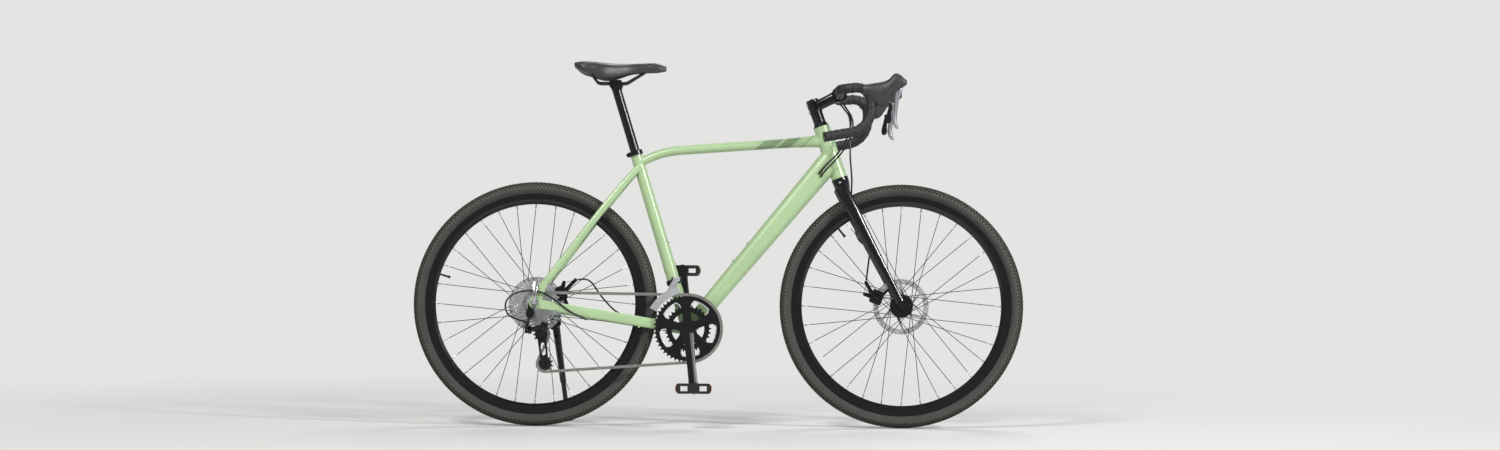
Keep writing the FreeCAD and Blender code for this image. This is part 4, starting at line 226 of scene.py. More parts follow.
def striped(name, base, bands, slant, height, rgb):
    # Slanted bands across a tube: each runs from one place to another along the bike, in millimetres
    mat, tree, shader = copied(name, base)
    color = shader.inputs["Base Color"].links[0].from_socket
    place = node(tree, "ShaderNodeTexCoord")
    split = node(tree, "ShaderNodeSeparateXYZ")
    join(tree, place, "Object", split, "Vector")
    lean = node(tree, "ShaderNodeMath", operation="MULTIPLY_ADD")
    lean.inputs[1].default_value = -slant
    lean.inputs[2].default_value = slant * at(0, 0, height).z
    tree.links.new(split.outputs["Z"], lean.inputs[0])
    along = node(tree, "ShaderNodeMath", operation="ADD")
    tree.links.new(split.outputs["X"], along.inputs[0])
    tree.links.new(lean.outputs[0], along.inputs[1])
    for start, stop in bands:
        mask = between(tree, along.outputs[0], start + SHIFT.x, stop + SHIFT.x)
        color = tinted(tree, mask, color, rgb)
    tree.links.new(color, shader.inputs["Base Color"])
    return mat


def painted_edge_highlight(name, base, foot, along, run, across, rgb):
    # A bright metallic strip on one edge of an arm, a painted highlight: set along the arm and across it,
    # in millimetres
    mat, tree, shader = copied(name, base)
    away = offset_from(tree, foot)
    masks = []
    for direction, bounds in ((along, run), (V((-along.z, 0.0, along.x)), across)):
        dot = node(tree, "ShaderNodeVectorMath", operation="DOT_PRODUCT")
        dot.inputs[1].default_value = (PLACE.to_3x3() @ direction).normalized()
        join(tree, away, "Vector", dot, 0)
        masks.append(between(tree, dot.outputs["Value"], *bounds))
    mask = product(tree, *masks)
    color = tinted(tree, mask, shader.inputs["Base Color"].links[0].from_socket, rgb)
    tree.links.new(color, shader.inputs["Base Color"])
    tree.links.new(mask, shader.inputs["Metallic"])
    return mat


PAINT = surface("green_paint", (165, 192, 146), 0.34, 0.0, 0.035, 9.0, 0.035, 900.0, 0.25)
FORK_BLACK = surface("fork_black", (9, 9, 10), 0.22, 0.0, 0.12, 14.0, 0.04, 900.0, 0.25)
ALLOY_BLACK = surface("black_alloy", (12, 12, 13), 0.27, 0.0, 0.15, 40.0, 0.06, 1200.0)
RIM_BLACK = surface("rim_black", (9, 9, 11), 0.22, 0.0, 0.12, 20.0, 0.05, 1200.0, 0.2)
SPOKE = surface("spoke_black", (28, 27, 28), 0.30, 0.5, 0.1, 60.0, 0.03)
STEEL = surface("bright_steel", (212, 213, 216), 0.24, 0.65, 0.08, 60.0, 0.08, 2500.0)
CHAIN_STEEL = surface("chain_steel", (158, 155, 151), 0.32, 0.7, 0.16, 90.0, 0.1, 1800.0)
SILVER = surface("silver_alloy", (200, 200, 203), 0.22, 1.0, 0.05, 40.0, 0.03, 1500.0)
LEVER_GREY = surface("lever_grey", (168, 169, 174), 0.28, 0.7, 0.08, 50.0, 0.05, 1500.0)
CRANK_BLACK = surface("crank_black", (13, 13, 14), 0.24, 0.1, 0.12, 40.0, 0.05, 1500.0, 0.2)
CASING = surface("tyre_casing", (62, 60, 58), 0.80, 0.0, 0.16, 30.0, 0.35, 1500.0)
TREAD = surface("tyre_tread", (12, 12, 12), 0.74, 0.0, 0.25, 45.0, 0.45, 1300.0)
HOOD_RUBBER = surface("hood_rubber", (48, 48, 51), 0.42, 0.0, 0.12, 45.0, 0.35, 2200.0)
TAPE = surface("bar_tape", (34, 33, 34), 0.52, 0.0, 0.15, 60.0, 0.5, 1300.0)
PLASTIC = surface("pedal_plastic", (24, 24, 25), 0.42, 0.0, 0.14, 60.0, 0.25, 1600.0)
CABLE = surface("cable_black", (14, 14, 15), 0.28, 0.0, 0.1, 80.0, 0.06, 1500.0)
# Black saddle cover painted a lighter grey: a painted sheen standing in for the light reflected off its top
COVER_WITH_SHEEN = surface("saddle_cover", (50, 50, 53), 0.38, 0.0, 0.10, 40.0, 0.35, 1700.0)
SHELL = surface("saddle_shell", (18, 18, 20), 0.5, 0.0, 0.12, 40.0, 0.3, 1500.0)
AMBER = surface("amber_reflector", (206, 110, 30), 0.16, 0.0, 0.15, 300.0, 0.6, 900.0, 0.6)
# Near black for the crease between wraps of tape: painted shade
TAPE_CREASE_SHADE = surface("tape_crease_shade", (9, 9, 9), 0.7, 0.0, 0.15, 60.0, 0.3, 1300.0)
TRIM = surface("polished_edge", (214, 215, 218), 0.3, 0.35, 0.05, 60.0, 0.04, 1500.0)

# Bands: start and stop in millimetres, colour, metal and roughness
NIPPLE_BAND = (268.0, 292.0, (196, 197, 200), 1.0, 0.25)
TOOTH_BAND = (94.0, 110.0, (92, 92, 94), 1.0, 0.3)
CASING_BAND = (334.5, 352.0, (84, 81, 74), 0.0, 0.85)
STRIPE_BANDS = ((644.0, 692.0), (703.0, 738.0), (766.0, 770.5))
STRIPE_SLANT = 1.1
STRIPE_HEIGHT = 815.0
STRIPE_GREEN = (122, 149, 108)
# The crank arm's front-edge strip is a painted highlight, silver and metallic: its run along the arm, its
# span across it, and its colour
HIGHLIGHT_RUN = (14.0, 158.0)
HIGHLIGHT_ACROSS = (4.0, 16.0)
HIGHLIGHT_SILVER = (178, 179, 182)

SLOT_MATERIALS = {
    "frame_paint": PAINT, "fork_black": FORK_BLACK, "black_alloy": ALLOY_BLACK, "tyre_rubber": CASING,
    "rim_black": RIM_BLACK, "spoke_black": SPOKE, "bright_steel": STEEL, "chain_steel": CHAIN_STEEL,
    "silver_alloy": SILVER, "lever_grey": LEVER_GREY, "crank_black": CRANK_BLACK, "saddle_black": COVER_WITH_SHEEN,
    "tape_black": TAPE, "hood_rubber": HOOD_RUBBER, "pedal_plastic": PLASTIC, "cable_black": CABLE,
    "pulley_plastic": PLASTIC,
}

NODE_MATERIALS = {
    "saddle_rails": ALLOY_BLACK,
    "front_derailleur_cage": STEEL,
    "top_tube": striped("striped_paint", PAINT, STRIPE_BANDS, STRIPE_SLANT, STRIPE_HEIGHT, STRIPE_GREEN),
    "spokes_front": banded("spokes_front", SPOKE, FRONT_AXLE, (NIPPLE_BAND,)),
    "spokes_rear": banded("spokes_rear", SPOKE, REAR_AXLE, (NIPPLE_BAND,)),
    "chainrings": banded("chainring_edges", CRANK_BLACK, BB, (TOOTH_BAND,)),
    # The crank arm carries a painted highlight along its front edge
    "crank_right": painted_edge_highlight("crank_painted_highlight", CRANK_BLACK, BB, CRANK_DIR, HIGHLIGHT_RUN, HIGHLIGHT_ACROSS, HIGHLIGHT_SILVER),
}


def dress(name, mat):
    obj = NODES[name]
    if not obj.material_slots:
        obj.data.materials.append(mat)
    for place in obj.material_slots:
        place.material = mat


for entry in frame["record"]["subparts"]:
    name = entry["node"]
    dress(name, NODE_MATERIALS.get(name, SLOT_MATERIALS[entry["material_slot"]]))


# Mesh helpers: points in millimetres in the bike's frame

def piece(name, points, faces, mats, body, smooth=True, mat_index=None):
    mesh = bpy.data.meshes.new(name)
    mesh.from_pydata([tuple(PLACE @ V(p)) for p in points], [], faces)
    for mat in mats:
        mesh.materials.append(mat)
    if mat_index is not None:
        mesh.polygons.foreach_set("material_index", mat_index)
    mesh.polygons.foreach_set("use_smooth", [smooth] * len(mesh.polygons))
    mesh.update()
    obj = bpy.data.objects.new(name, mesh)
    bpy.context.scene.collection.objects.link(obj)
    if body is not None:
        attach(obj, body)
    return obj


def ring_faces(rings, count, closed_rings=False):
    faces = []
    last = rings if closed_rings else rings - 1
    for i in range(last):
        j = (i + 1) % rings
        for k in range(count):
            m = (k + 1) % count
            faces.append((i * count + k, j * count + k, j * count + m, i * count + m))
    return faces


def end_caps(rings, count):
    return [tuple(range(count)), tuple(range((rings - 1) * count, rings * count))]


def round_section(center, up, cross, radius, count):
    turns = [2 * math.pi * k / count for k in range(count)]
    return [center + up * (radius * math.cos(t)) + cross * (radius * math.sin(t)) for t in turns]


def fix_normals(obj):
    work = bmesh.new()
    work.from_mesh(obj.data)
    bmesh.ops.recalc_face_normals(work, faces=work.faces)
    work.to_mesh(obj.data)
    work.free()


# Tyres: a rounded casing with rows of small tread blocks, each row with its lean in degrees, the blocks'
# length, width and height, and its shift along the tread

TREAD_ROWS = ((0.0, 5.4, 3.6, 2.3, 0.0), (15.0, 5.4, 3.4, 2.3, 0.5), (31.0, 5.4, 3.6, 2.3, 0.0),
              (48.0, 5.6, 3.8, 2.4, 0.5), (66.0, 5.4, 3.8, 2.3, 0.0))
TREAD_COUNT = 190
TREAD_LEVELS = ((None, 1.0), (0.65, 0.96), (1.0, 0.74))
TREAD_ROOT = -0.8
BLOCK_CORNERS = ((-1, -1), (1, -1), (1, 1), (-1, 1))
CASING_R = 331.6
CASING_HALF_H = 17.0
CASING_HALF_W = 19.0
CASING_LEANS = range(-126, 127, 9)
CASING_STEPS = 288
BEAD_EDGE = ((9.6, 312.4), (11.0, 317.6))
BEAD_MIDDLE = (0.0, 311.8)
NUDGE = 0.001


def casing_point(turn, lean):
    radius = CASING_R + CASING_HALF_H * math.cos(lean)
    return V((radius * math.sin(turn), CASING_HALF_W * math.sin(lean), radius * math.cos(turn)))


def tread_block(center, turn, lean, long, wide, high):
    base = casing_point(turn, lean)
    along = (casing_point(turn + NUDGE, lean) - base).normalized()
    over = (casing_point(turn, lean + NUDGE) - base).normalized()
    out = along.cross(over)
    if out.dot(base) < 0:
        out = -out
    points = []
    for level, share in TREAD_LEVELS:
        lift = TREAD_ROOT if level is None else high * level
        for a, b in BLOCK_CORNERS:
            aside = along * (a * long / 2 * share) + over * (b * wide / 2 * share)
            points.append(center + base + aside + out * lift)
    return points


def make_tyre(name, center, body, replaced):
    section = [(-y, radius) for y, radius in BEAD_EDGE]
    for degrees in CASING_LEANS:
        lean = math.radians(degrees)
        section.append((CASING_HALF_W * math.sin(lean), CASING_R + CASING_HALF_H * math.cos(lean)))
    section += list(reversed(BEAD_EDGE)) + [BEAD_MIDDLE]
    points = []
    for i in range(CASING_STEPS):
        turn = 2 * math.pi * i / CASING_STEPS
        for y, radius in section:
            points.append(center + V((radius * math.sin(turn), y, radius * math.cos(turn))))
    faces = ring_faces(CASING_STEPS, len(section), True)
    casing = len(faces)
    for degrees, long, wide, high, phase in TREAD_ROWS:
        for sign in ((1,) if degrees == 0 else (1, -1)):
            lean = math.radians(degrees * sign)
            for k in range(TREAD_COUNT):
                turn = 2 * math.pi * (k + phase) / TREAD_COUNT
                first = len(points)
                points += tread_block(center, turn, lean, long, wide, high)
                faces += [tuple(first + v for v in face) for face in ring_faces(3, 4)]
                faces.append(tuple(range(first + 8, first + 12)))
    mats = [0 if index < casing else 1 for index in range(len(faces))]
    dusty = banded(name + "_casing", CASING, center, (CASING_BAND,))
    obj = piece(name, points, faces, [dusty, TREAD], body, mat_index=mats)
    obj.data.polygons.foreach_set("use_smooth", [mat == 0 for mat in mats])
    fix_normals(obj)
    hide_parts(replaced)


make_tyre("tread_front", FRONT_AXLE, "front_wheel", "tyre_front")
make_tyre("tread_rear", REAR_AXLE, "rear_wheel", "tyre_rear")


# Bar tape: an overlapping wrap along the bar, with painted shade in the crease at each wrap's edge

BAR_BENDS = (35.0, 42.0, 70.0)
BAR_CORNERS = ((0.0, 205.0, 0.0), (88.0, 214.0, 9.0), (86.5, 224.0, -114.397), (-44.0, 246.0, -139.0))
TAPE_START = 70.0
TAPE_ROOT_R = 13.6
TAPE_STEP = 1.6
TAPE_SIDES = 40
TAPE_PITCH = 18.0
TAPE_LIFT = 1.5
TAPE_FALL = 0.85
TAPE_EDGE = 0.10
CREASE_SHADE_SHARE = 0.17
BAND_SIDE = 0.4
BAND_PROFILE = ((0.0, 11.95), (0.0, 15.0), (0.6, 15.25), (20.4, 15.25), (21.0, 15.0), (21.0, 13.9))


def bar_corners(side):
    return [BAR + V((x, side * y, z)) for x, y, z in ((0.0, TAPE_START, 0.0),) + BAR_CORNERS]


def bent_line(points, radii, step):
    # Straight runs joined by arcs, as evenly set points
    line = [points[0]]
    for index in range(1, len(points) - 1):
        back = (points[index - 1] - points[index]).normalized()
        onward = (points[index + 1] - points[index]).normalized()
        half = back.angle(onward) / 2
        radius = radii[index - 1]
        reach = radius / math.tan(half)
        middle = points[index] + (back + onward).normalized() * (radius / math.sin(half))
        first = points[index] + back * reach - middle
        last = points[index] + onward * reach - middle
        sweep = math.pi - 2 * half
        axis = first.cross(last).normalized()
        count = max(2, int(radius * sweep / step))
        for k in range(count + 1):
            line.append(middle + Matrix.Rotation(sweep * k / count, 3, axis) @ first)
    line.append(points[-1])
    even = [line[0]]
    for a, b in zip(line, line[1:]):
        count = max(1, int(round((b - a).length / step)))
        for k in range(1, count + 1):
            even.append(a.lerp(b, k / count))
    return even


def tube_frames(line):
    # Each point with the way along, and two ways across that turn as little as they can
    frames = []
    up = V((0, 0, 1))
    for index, point in enumerate(line):
        before = line[max(0, index - 1)]
        after = line[min(len(line) - 1, index + 1)]
        along = (after - before).normalized()
        up = (up - along * up.dot(along)).normalized()
        frames.append((point, along, up, along.cross(up)))
    return frames


def make_tape(side, name):
    line = bent_line(bar_corners(side), BAR_BENDS, TAPE_STEP)
    points = []
    wraps = []
    run = 0.0
    previous = line[0]
    for point, along, up, cross in tube_frames(line):
        run += (point - previous).length
        previous = point
        for k in range(TAPE_SIDES):
            turn = 2 * math.pi * k / TAPE_SIDES
            wrap = (run / TAPE_PITCH - side * k / TAPE_SIDES) % 1.0
            radius = TAPE_ROOT_R + TAPE_LIFT * min(1.0, wrap / TAPE_EDGE) * (1.0 - TAPE_FALL * wrap)
            wraps.append(wrap)
            points.append(point + up * (radius * math.cos(turn)) + cross * (radius * math.sin(turn)))
    faces = ring_faces(len(line), TAPE_SIDES) + end_caps(len(line), TAPE_SIDES)
    # Faces at the foot of each wrap's edge get the painted shade
    crease_shade = [1 if len(face) == 4 and wraps[face[0]] < CREASE_SHADE_SHARE else 0 for face in faces]
    obj = piece(name, points, faces, [TAPE, TAPE_CREASE_SHADE], "steering", mat_index=crease_shade)
    fix_normals(obj)
    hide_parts("bar_tape")
    # Finishing band at the stem end of the wrap
    band = []
    for shift, radius in BAND_PROFILE:
        center = BAR + V((0, side * (TAPE_START - BAND_SIDE + shift), 0))
        band += round_section(center, V((0, 0, 1)), V((1, 0, 0)), radius, TAPE_SIDES)
    faces = ring_faces(len(BAND_PROFILE), TAPE_SIDES)
    fix_normals(piece(name + "_band", band, faces, [CABLE], "steering"))


make_tape(-1, "wrap_right")
make_tape(1, "wrap_left")


# Small fittings: chainring trim, guide pegs under the near stay and stem bolt ends

BEAD_SIDES = 10


def bead(name, line, radius, mat, body):
    # A round rod along a line of points
    points = []
    for point, _, up, cross in tube_frames(line):
        points += round_section(point, up, cross, radius, BEAD_SIDES)
    faces = ring_faces(len(line), BEAD_SIDES) + end_caps(len(line), BEAD_SIDES)
    fix_normals(piece(name, points, faces, [mat], body))


def round_point(degrees, radius, y):
    turn = math.radians(degrees)
    return BB + V((radius * math.cos(turn), y, radius * math.sin(turn)))


# Webs between the crank's arms and the rings, and the bright rim of each window, by turn and radius
RING_ARMS = 5
ARM_TURN = 360.0 / RING_ARMS
WEB_FACES_Y = (-49.9, -47.6)
WEB_EDGE = ((24.0, 23.0), (36.0, 19.0), (50.0, 15.0), (64.0, 14.0), (76.0, 15.5), (82.0, 18.0))
TRIM_Y = -49.6
TRIM_R = 80.5
TRIM_ROD_R = 1.5
TRIM_LEGS = ((22.0, 62.0), (21.5, 72.0))
TRIM_TURNS = range(-17, 18, 2)
for index in range(RING_ARMS):
    arm = CRANK_ANGLE + 180.0 + ARM_TURN * index
    outline = [(arm - turn, radius) for radius, turn in WEB_EDGE]
    outline += [(arm + turn, radius) for radius, turn in reversed(WEB_EDGE)]
    points = [round_point(turn, radius, y) for y in WEB_FACES_Y for turn, radius in outline]
    faces = ring_faces(2, len(outline)) + end_caps(2, len(outline))
    web = piece("ring_web_%d" % index, points, faces, [CRANK_BLACK], "crankset", False)
    fix_normals(web)
    window = arm + ARM_TURN / 2
    line = [round_point(window - turn, radius, TRIM_Y) for turn, radius in TRIM_LEGS]
    line += [round_point(window + turn, TRIM_R, TRIM_Y) for turn in TRIM_TURNS]
    line += [round_point(window + turn, radius, TRIM_Y) for turn, radius in reversed(TRIM_LEGS)]
    bead("ring_trim_%d" % index, line, TRIM_ROD_R, TRIM, "crankset")

PEG_SPOTS = ((143.9, -53.0, 312.5), (299.2, -33.5, 286.0))
PEG_REACH = (-4.0, 0.0, 4.0)
PEG_R = 3.6
for index, spot in enumerate(PEG_SPOTS):
    line = [V(spot) + V((0, reach, 0)) for reach in PEG_REACH]
    bead("guide_peg_%d" % index, line, PEG_R, PAINT, "frame")

STEM_MID = V((799.121, 0.0, 923.33))
STEM_BOLT_SPOTS = (-10.0, 10.0)
STEM_BOLT_BACK = 17.6
STEM_BOLT_REACH = (-10.0, -11.0, -12.2)
STEM_BOLT_R = 3.3
for index, along in enumerate(STEM_BOLT_SPOTS):
    seat = STEM_MID + STEER * along - AHEAD * STEM_BOLT_BACK
    line = [seat + V((0, reach, 0)) for reach in STEM_BOLT_REACH]
    bead("stem_bolt_%d" % index, line, STEM_BOLT_R, SILVER, "steering")


# Cables: smooth lines through the routes of the solids

HOSE_R = 2.5
WIRE_R = 0.8


def cable(name, route, body, replaced, radius=HOSE_R, blend=None):
    # It rides one body, or with a crossing given it is left in place with no body
    curve = bpy.data.curves.new(name, "CURVE")
    curve.dimensions = "3D"
    spline = curve.splines.new("NURBS")
    spline.points.add(len(route) - 1)
    for control, p in zip(spline.points, route):
        place = PLACE @ p
        control.co = (place.x, place.y, place.z, 1.0)
    spline.order_u = 3
    spline.use_endpoint_u = True
    spline.resolution_u = 10
    curve.bevel_depth = radius / 1000.0
    curve.bevel_resolution = 4
    curve.use_fill_caps = True
    rough = bpy.data.objects.new(name + "_line", curve)
    bpy.context.scene.collection.objects.link(rough)
    bpy.context.view_layer.update()
    mesh = bpy.data.meshes.new_from_object(rough.evaluated_get(bpy.context.evaluated_depsgraph_get()))
    bpy.data.objects.remove(rough)
    mesh.materials.clear()
    mesh.materials.append(CABLE)
    mesh.polygons.foreach_set("use_smooth", [True] * len(mesh.polygons))
    mesh.name = name
    obj = bpy.data.objects.new(name, mesh)
    bpy.context.scene.collection.objects.link(obj)
    if blend is None:
        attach(obj, body)
    else:
        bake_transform(obj)
    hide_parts(replaced)


DOWN_DIR = (DOWN_HEAD - BB).normalized()
PORT = DOWN_HEAD - DOWN_DIR * 62.0
PORT.y = -26.7
STAY_Z = 349.0
STAY_SLOPE = -70.0 / BB.x


def from_bar(*points):
    return [BAR + V(p) for p in points]


def from_port(*points):
    # Each point: the way up the down tube, then a shift
    return [PORT + DOWN_DIR * up + V((x, y, z)) for up, x, y, z in points]


def from_stay(*points):
    # Each point: its place along and across the bike, and its height over the chainstay's middle line
    return [V((x, y, STAY_Z + STAY_SLOPE * x + up)) for x, y, up in points]


# Bar to frame: these two run from the bar down to the port and ride no body
SHIFT_ROUTE = from_bar((-2, -57, -14.4), (16, -58.5, -36), (33, -60, -64), (33, -57, -98), (22, -52, -132))
SHIFT_ROUTE += from_port((70, 14, -14, 8), (46, 6, -7.5, 3), (24, 0, -3, 0), (0, 0, 1.1, 0))
HOSE_ROUTE = from_bar((-2, -64, -14.4), (18, -69, -42), (39, -74, -72), (38, -71, -108), (26, -66, -142))
HOSE_ROUTE += from_port((74, 16, -22, -2), (50, 10, -14.5, -6), (28, 4, -9, -9), (0, 6, 1.9, -9))
CROSSING = ("steering", "frame", from_bar((30, -62, -40))[0], from_port((50, 5, -8, 0))[0])
cable("shift_cable", SHIFT_ROUTE, None, "frame_cables", blend=CROSSING)
cable("rear_brake_hose", HOSE_ROUTE, None, "frame_cables", blend=CROSSING)

# Loop from the near stay to the rear derailleur
LOOP_Y = -77.5
LOOP_END = HANGER_BOLT + V((-21, -16, -22))
LOOP_BEND = ((38, 2, 374), (12, 2.6, 383), (-14, 3, 386), (-40, 4.6, 383), (-64, 6, 374), (-80, 7.4, 358),
             (-84, 8, 338), (-76, 8.8, 316), (-58, 9, 305))
LOOP_ROUTE = from_stay((150, -58, -21.2), (124, -65.5, -15), (98, -72, -5))
LOOP_ROUTE.append(V((68, -77, 352)))
LOOP_ROUTE += [V((x, LOOP_Y - out, z)) for x, out, z in LOOP_BEND]
LOOP_ROUTE.append(LOOP_END)
cable("derailleur_cable", LOOP_ROUTE, "frame", "frame_cables")

# Brake cables: each ends in its caliper's stop, and the bare wire runs on from the stop with no body
WIRE_REACH = (6.0, 0.0, -6.0, -12.0, -18.0, -24.0, -29.7)
WIRE_HELD = 24.0
STOP_SEAT = 6.2


def brake_wire(name, stop, pull, body, arm, replaced):
    route = [stop + pull * reach for reach in WIRE_REACH]
    cable(name, route, None, replaced, WIRE_R, (body, arm, stop, stop - pull * WIRE_HELD))


REAR_STOP = V((111.91, 77.5, 423.18))
REAR_PULL = V((0.98, 0, 0.2)).normalized()
REAR_ROUTE = from_stay((300, 42.9, 6), (265, 45, 10), (230, 50, 18))
REAR_ROUTE += [V((200, 56, 361)), V((178, 63, 388)), V((160, 72, 417))]
REAR_ROUTE += [REAR_STOP + REAR_PULL * reach for reach in (28, STOP_SEAT)]
cable("rear_brake_cable", REAR_ROUTE, "frame", "frame_cables")
brake_wire("rear_brake_wire", REAR_STOP, REAR_PULL, "frame", "rear_brake_arm", "frame_cables")

FRONT_STOP = V((952.35, 64.5, 421.16))
FRONT_PULL = V((0.12, 0, 0.993)).normalized()
FRONT_ROUTE = from_bar((-2, 62, -14.4), (18, 57, -38), (35, 52, -62))
FRONT_ROUTE += [st(60, 52, 20), st(24, 43, 31), st(-10, 34, 40), st(-40, 22, 60), st(-90, 4, 67),
                st(-135, -2, 69), st(-180, -8, 70)]
FRONT_ROUTE += [FRONT_STOP + FRONT_PULL * reach for reach in (100, 58, STOP_SEAT)]
cable("front_brake_hose", FRONT_ROUTE, "steering", "front_brake_cable")
brake_wire("front_brake_wire", FRONT_STOP, FRONT_PULL, "steering", "front_brake_arm", "front_brake_cable")


# Saddle: a padded cover over a moulded shell; the black cover is lifted to grey by a painted sheen

SADDLE_TAIL = 106.0
SADDLE_LENGTH = 266.0
SADDLE_HALF_W = 74.0
SADDLE_TOP = 1048.0
SADDLE_STEPS = 72
GROOVE_START = 0.16
GROOVE_RUN = 0.66
GROOVE_DEPTH = 2.6
GROOVE_WIDTH = 9.0
GROOVE_EASE = 0.6
# Place along the saddle, share of the half width, then the heights of its top, its edge and its underside
SADDLE_STATIONS = (
    (0.000, 0.66, 0.0, -10.0, -13.0),
    (0.060, 0.93, 2.0, -24.0, -22.0),
    (0.200, 1.00, 2.0, -38.0, -28.0),
    (0.335, 0.94, -1.0, -48.0, -31.0),
    (0.470, 0.68, -3.0, -44.0, -28.0),
    (0.600, 0.42, -2.0, -34.0, -25.0),
    (0.760, 0.29, 0.0, -29.0, -25.0),
    (0.920, 0.25, -1.5, -27.0, -25.0),
    (1.000, 0.15, -9.0, -23.0, -22.0),
)
# Half a section: shares of the half width, top, edge and underside, and a shift in height
SADDLE_SECTION = (
    (0.0, 1.0, 0.0, 0.0, 0.0),
    (0.22, 1.0, 0.0, 0.0, -0.2),
    (0.45, 1.0, 0.0, 0.0, -1.0),
    (0.63, 1.0, 0.0, 0.0, -2.6),
    (0.78, 1.0, 0.0, 0.0, -4.8),
    (0.90, 1.0, 0.0, 0.0, -8.5),
    (0.965, 0.62, 0.38, 0.0, 0.0),
    (0.985, 0.3, 0.7, 0.0, 0.0),
    (0.975, 0.0, 1.0, 0.0, 2.5),
    (0.93, 0.0, 1.0, 0.0, 0.2),
    (0.84, 0.0, 1.0, 0.0, 0.6),
    (0.70, 0.0, 0.55, 0.45, 1.0),
    (0.40, 0.0, 0.0, 1.0, 0.0),
    (0.0, 0.0, 0.0, 1.0, 0.0),
)
# The groove reaches points this close to the top, and the shell starts at this point of the section
GROOVE_REACH = 3.0
SHELL_FROM = 9


def eased(table, x):
    # Smooth values between the rows of a table
    xs = [row[0] for row in table]
    last = len(xs) - 1
    i = max(0, min(last - 1, sum(1 for v in xs if v <= x) - 1))
    before = max(0, i - 1)
    after = min(last, i + 2)
    h1 = xs[i + 1] - xs[i]
    h0 = xs[i] - xs[before] or 1.0
    h2 = xs[after] - xs[i + 1] or 1.0
    t = (x - xs[i]) / h1
    t2 = t * t
    t3 = t2 * t
    out = []
    for c in range(1, len(table[0])):
        p0, p1, p2, p3 = (table[row][c] for row in (before, i, i + 1, after))
        m1 = m2 = (p2 - p1) / h1
        if i > 0:
            m1 = ((p1 - p0) / h0 * h1 + (p2 - p1) / h1 * h0) / (h0 + h1)
        if i < last - 1:
            m2 = ((p2 - p1) / h1 * h2 + (p3 - p2) / h2 * h1) / (h1 + h2)
        start = (2 * t3 - 3 * t2 + 1) * p1 + (t3 - 2 * t2 + t) * h1 * m1
        out.append(start + (3 * t2 - 2 * t3) * p2 + (t3 - t2) * h1 * m2)
    return out


def saddle_ring(x):
    wide, top, edge, belly = eased(SADDLE_STATIONS, x)
    through = min(1.0, max(0.0, (x - GROOVE_START) / GROOVE_RUN))
    groove = GROOVE_DEPTH * max(0.0, math.sin(math.pi * through)) ** GROOVE_EASE
    half = []
    for share, of_top, of_edge, of_belly, shift in SADDLE_SECTION:
        y = share * SADDLE_HALF_W * wide
        z = of_top * top + of_edge * edge + of_belly * belly + shift
        dip = groove * math.exp(-(y / GROOVE_WIDTH) ** 2) if z > top - GROOVE_REACH else 0.0
        half.append((y, z - dip))
    full = half + [(-y, z) for y, z in reversed(half[1:-1])]
    return [V((SADDLE_TAIL + SADDLE_LENGTH * x, y, SADDLE_TOP + z)) for y, z in full]


def make_saddle():
    points = []
    for i in range(SADDLE_STEPS + 1):
        points += saddle_ring(i / SADDLE_STEPS)
    count = 2 * len(SADDLE_SECTION) - 2
    faces = ring_faces(SADDLE_STEPS + 1, count) + end_caps(SADDLE_STEPS + 1, count)
    under = [1 if SHELL_FROM <= k < count - SHELL_FROM else 0 for k in range(count)] * SADDLE_STEPS + [0, 0]
    obj = piece("saddle_pad", points, faces, [COVER_WITH_SHEEN, SHELL], "seat", mat_index=under)
    fix_normals(obj)
    soft = obj.modifiers.new("soft", "SUBSURF")
    soft.levels = 1
    soft.render_levels = 1
    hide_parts("saddle_cover")


make_saddle()


# Pedal reflectors

REFLECTOR_HALF = (1.6, 22.0, 6.5)
REFLECTOR_BEVEL = 1.2
REFLECTOR_OUT = 50.6
PEDAL_Y = 121.0


def rounded_plate(name, center, half, bevel, mat, body):
    mesh = bpy.data.meshes.new(name)
    work = bmesh.new()
    bmesh.ops.create_cube(work, size=2.0)
    for vert in work.verts:
        vert.co = V([co * h for co, h in zip(vert.co, half)]) + center
    bmesh.ops.bevel(work, geom=work.edges[:], offset=bevel, segments=3, affect="EDGES", profile=0.6)
    bmesh.ops.transform(work, matrix=PLACE, verts=work.verts)
    work.to_mesh(mesh)
    work.free()
    mesh.materials.append(mat)
    mesh.polygons.foreach_set("use_smooth", [True] * len(mesh.polygons))
    obj = bpy.data.objects.new(name, mesh)
    bpy.context.scene.collection.objects.link(obj)
    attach(obj, body)


for side, label, direction in ((-1, "right", CRANK_DIR), (1, "left", -CRANK_DIR)):
    pedal = BB + direction * CRANK_LENGTH + V((0, side * PEDAL_Y, 0))
    for way, end in ((1, "front"), (-1, "back")):
        middle = pedal + V((way * REFLECTOR_OUT, 0, 0))
        rounded_plate("reflector_%s_%s" % (label, end), middle, REFLECTOR_HALF, REFLECTOR_BEVEL, AMBER,
                      label + "_pedal")


# Weld beads where the frame's tubes meet

WELD_R = 2.1
WELD_RIPPLE = 0.16
WELD_STEP = 2.6
WELD_BINS = 72
WELD_LEAST = 12
WELD_SIDES = 10
# In metres, as the meshes are
WELD_REACH = 0.0009


def meeting_points(name, other, side):
    # The points of one tube that lie on another, on one side of the bike or on both
    mesh = NODES[other].data
    tree = BVHTree.FromPolygons([v.co for v in mesh.vertices], [p.vertices for p in mesh.polygons])
    found = []
    for vert in NODES[name].data.vertices:
        point = UPRIGHT @ vert.co
        if side * point.y >= 0 and tree.find_nearest(vert.co, WELD_REACH)[0] is not None:
            found.append(point)
    return found


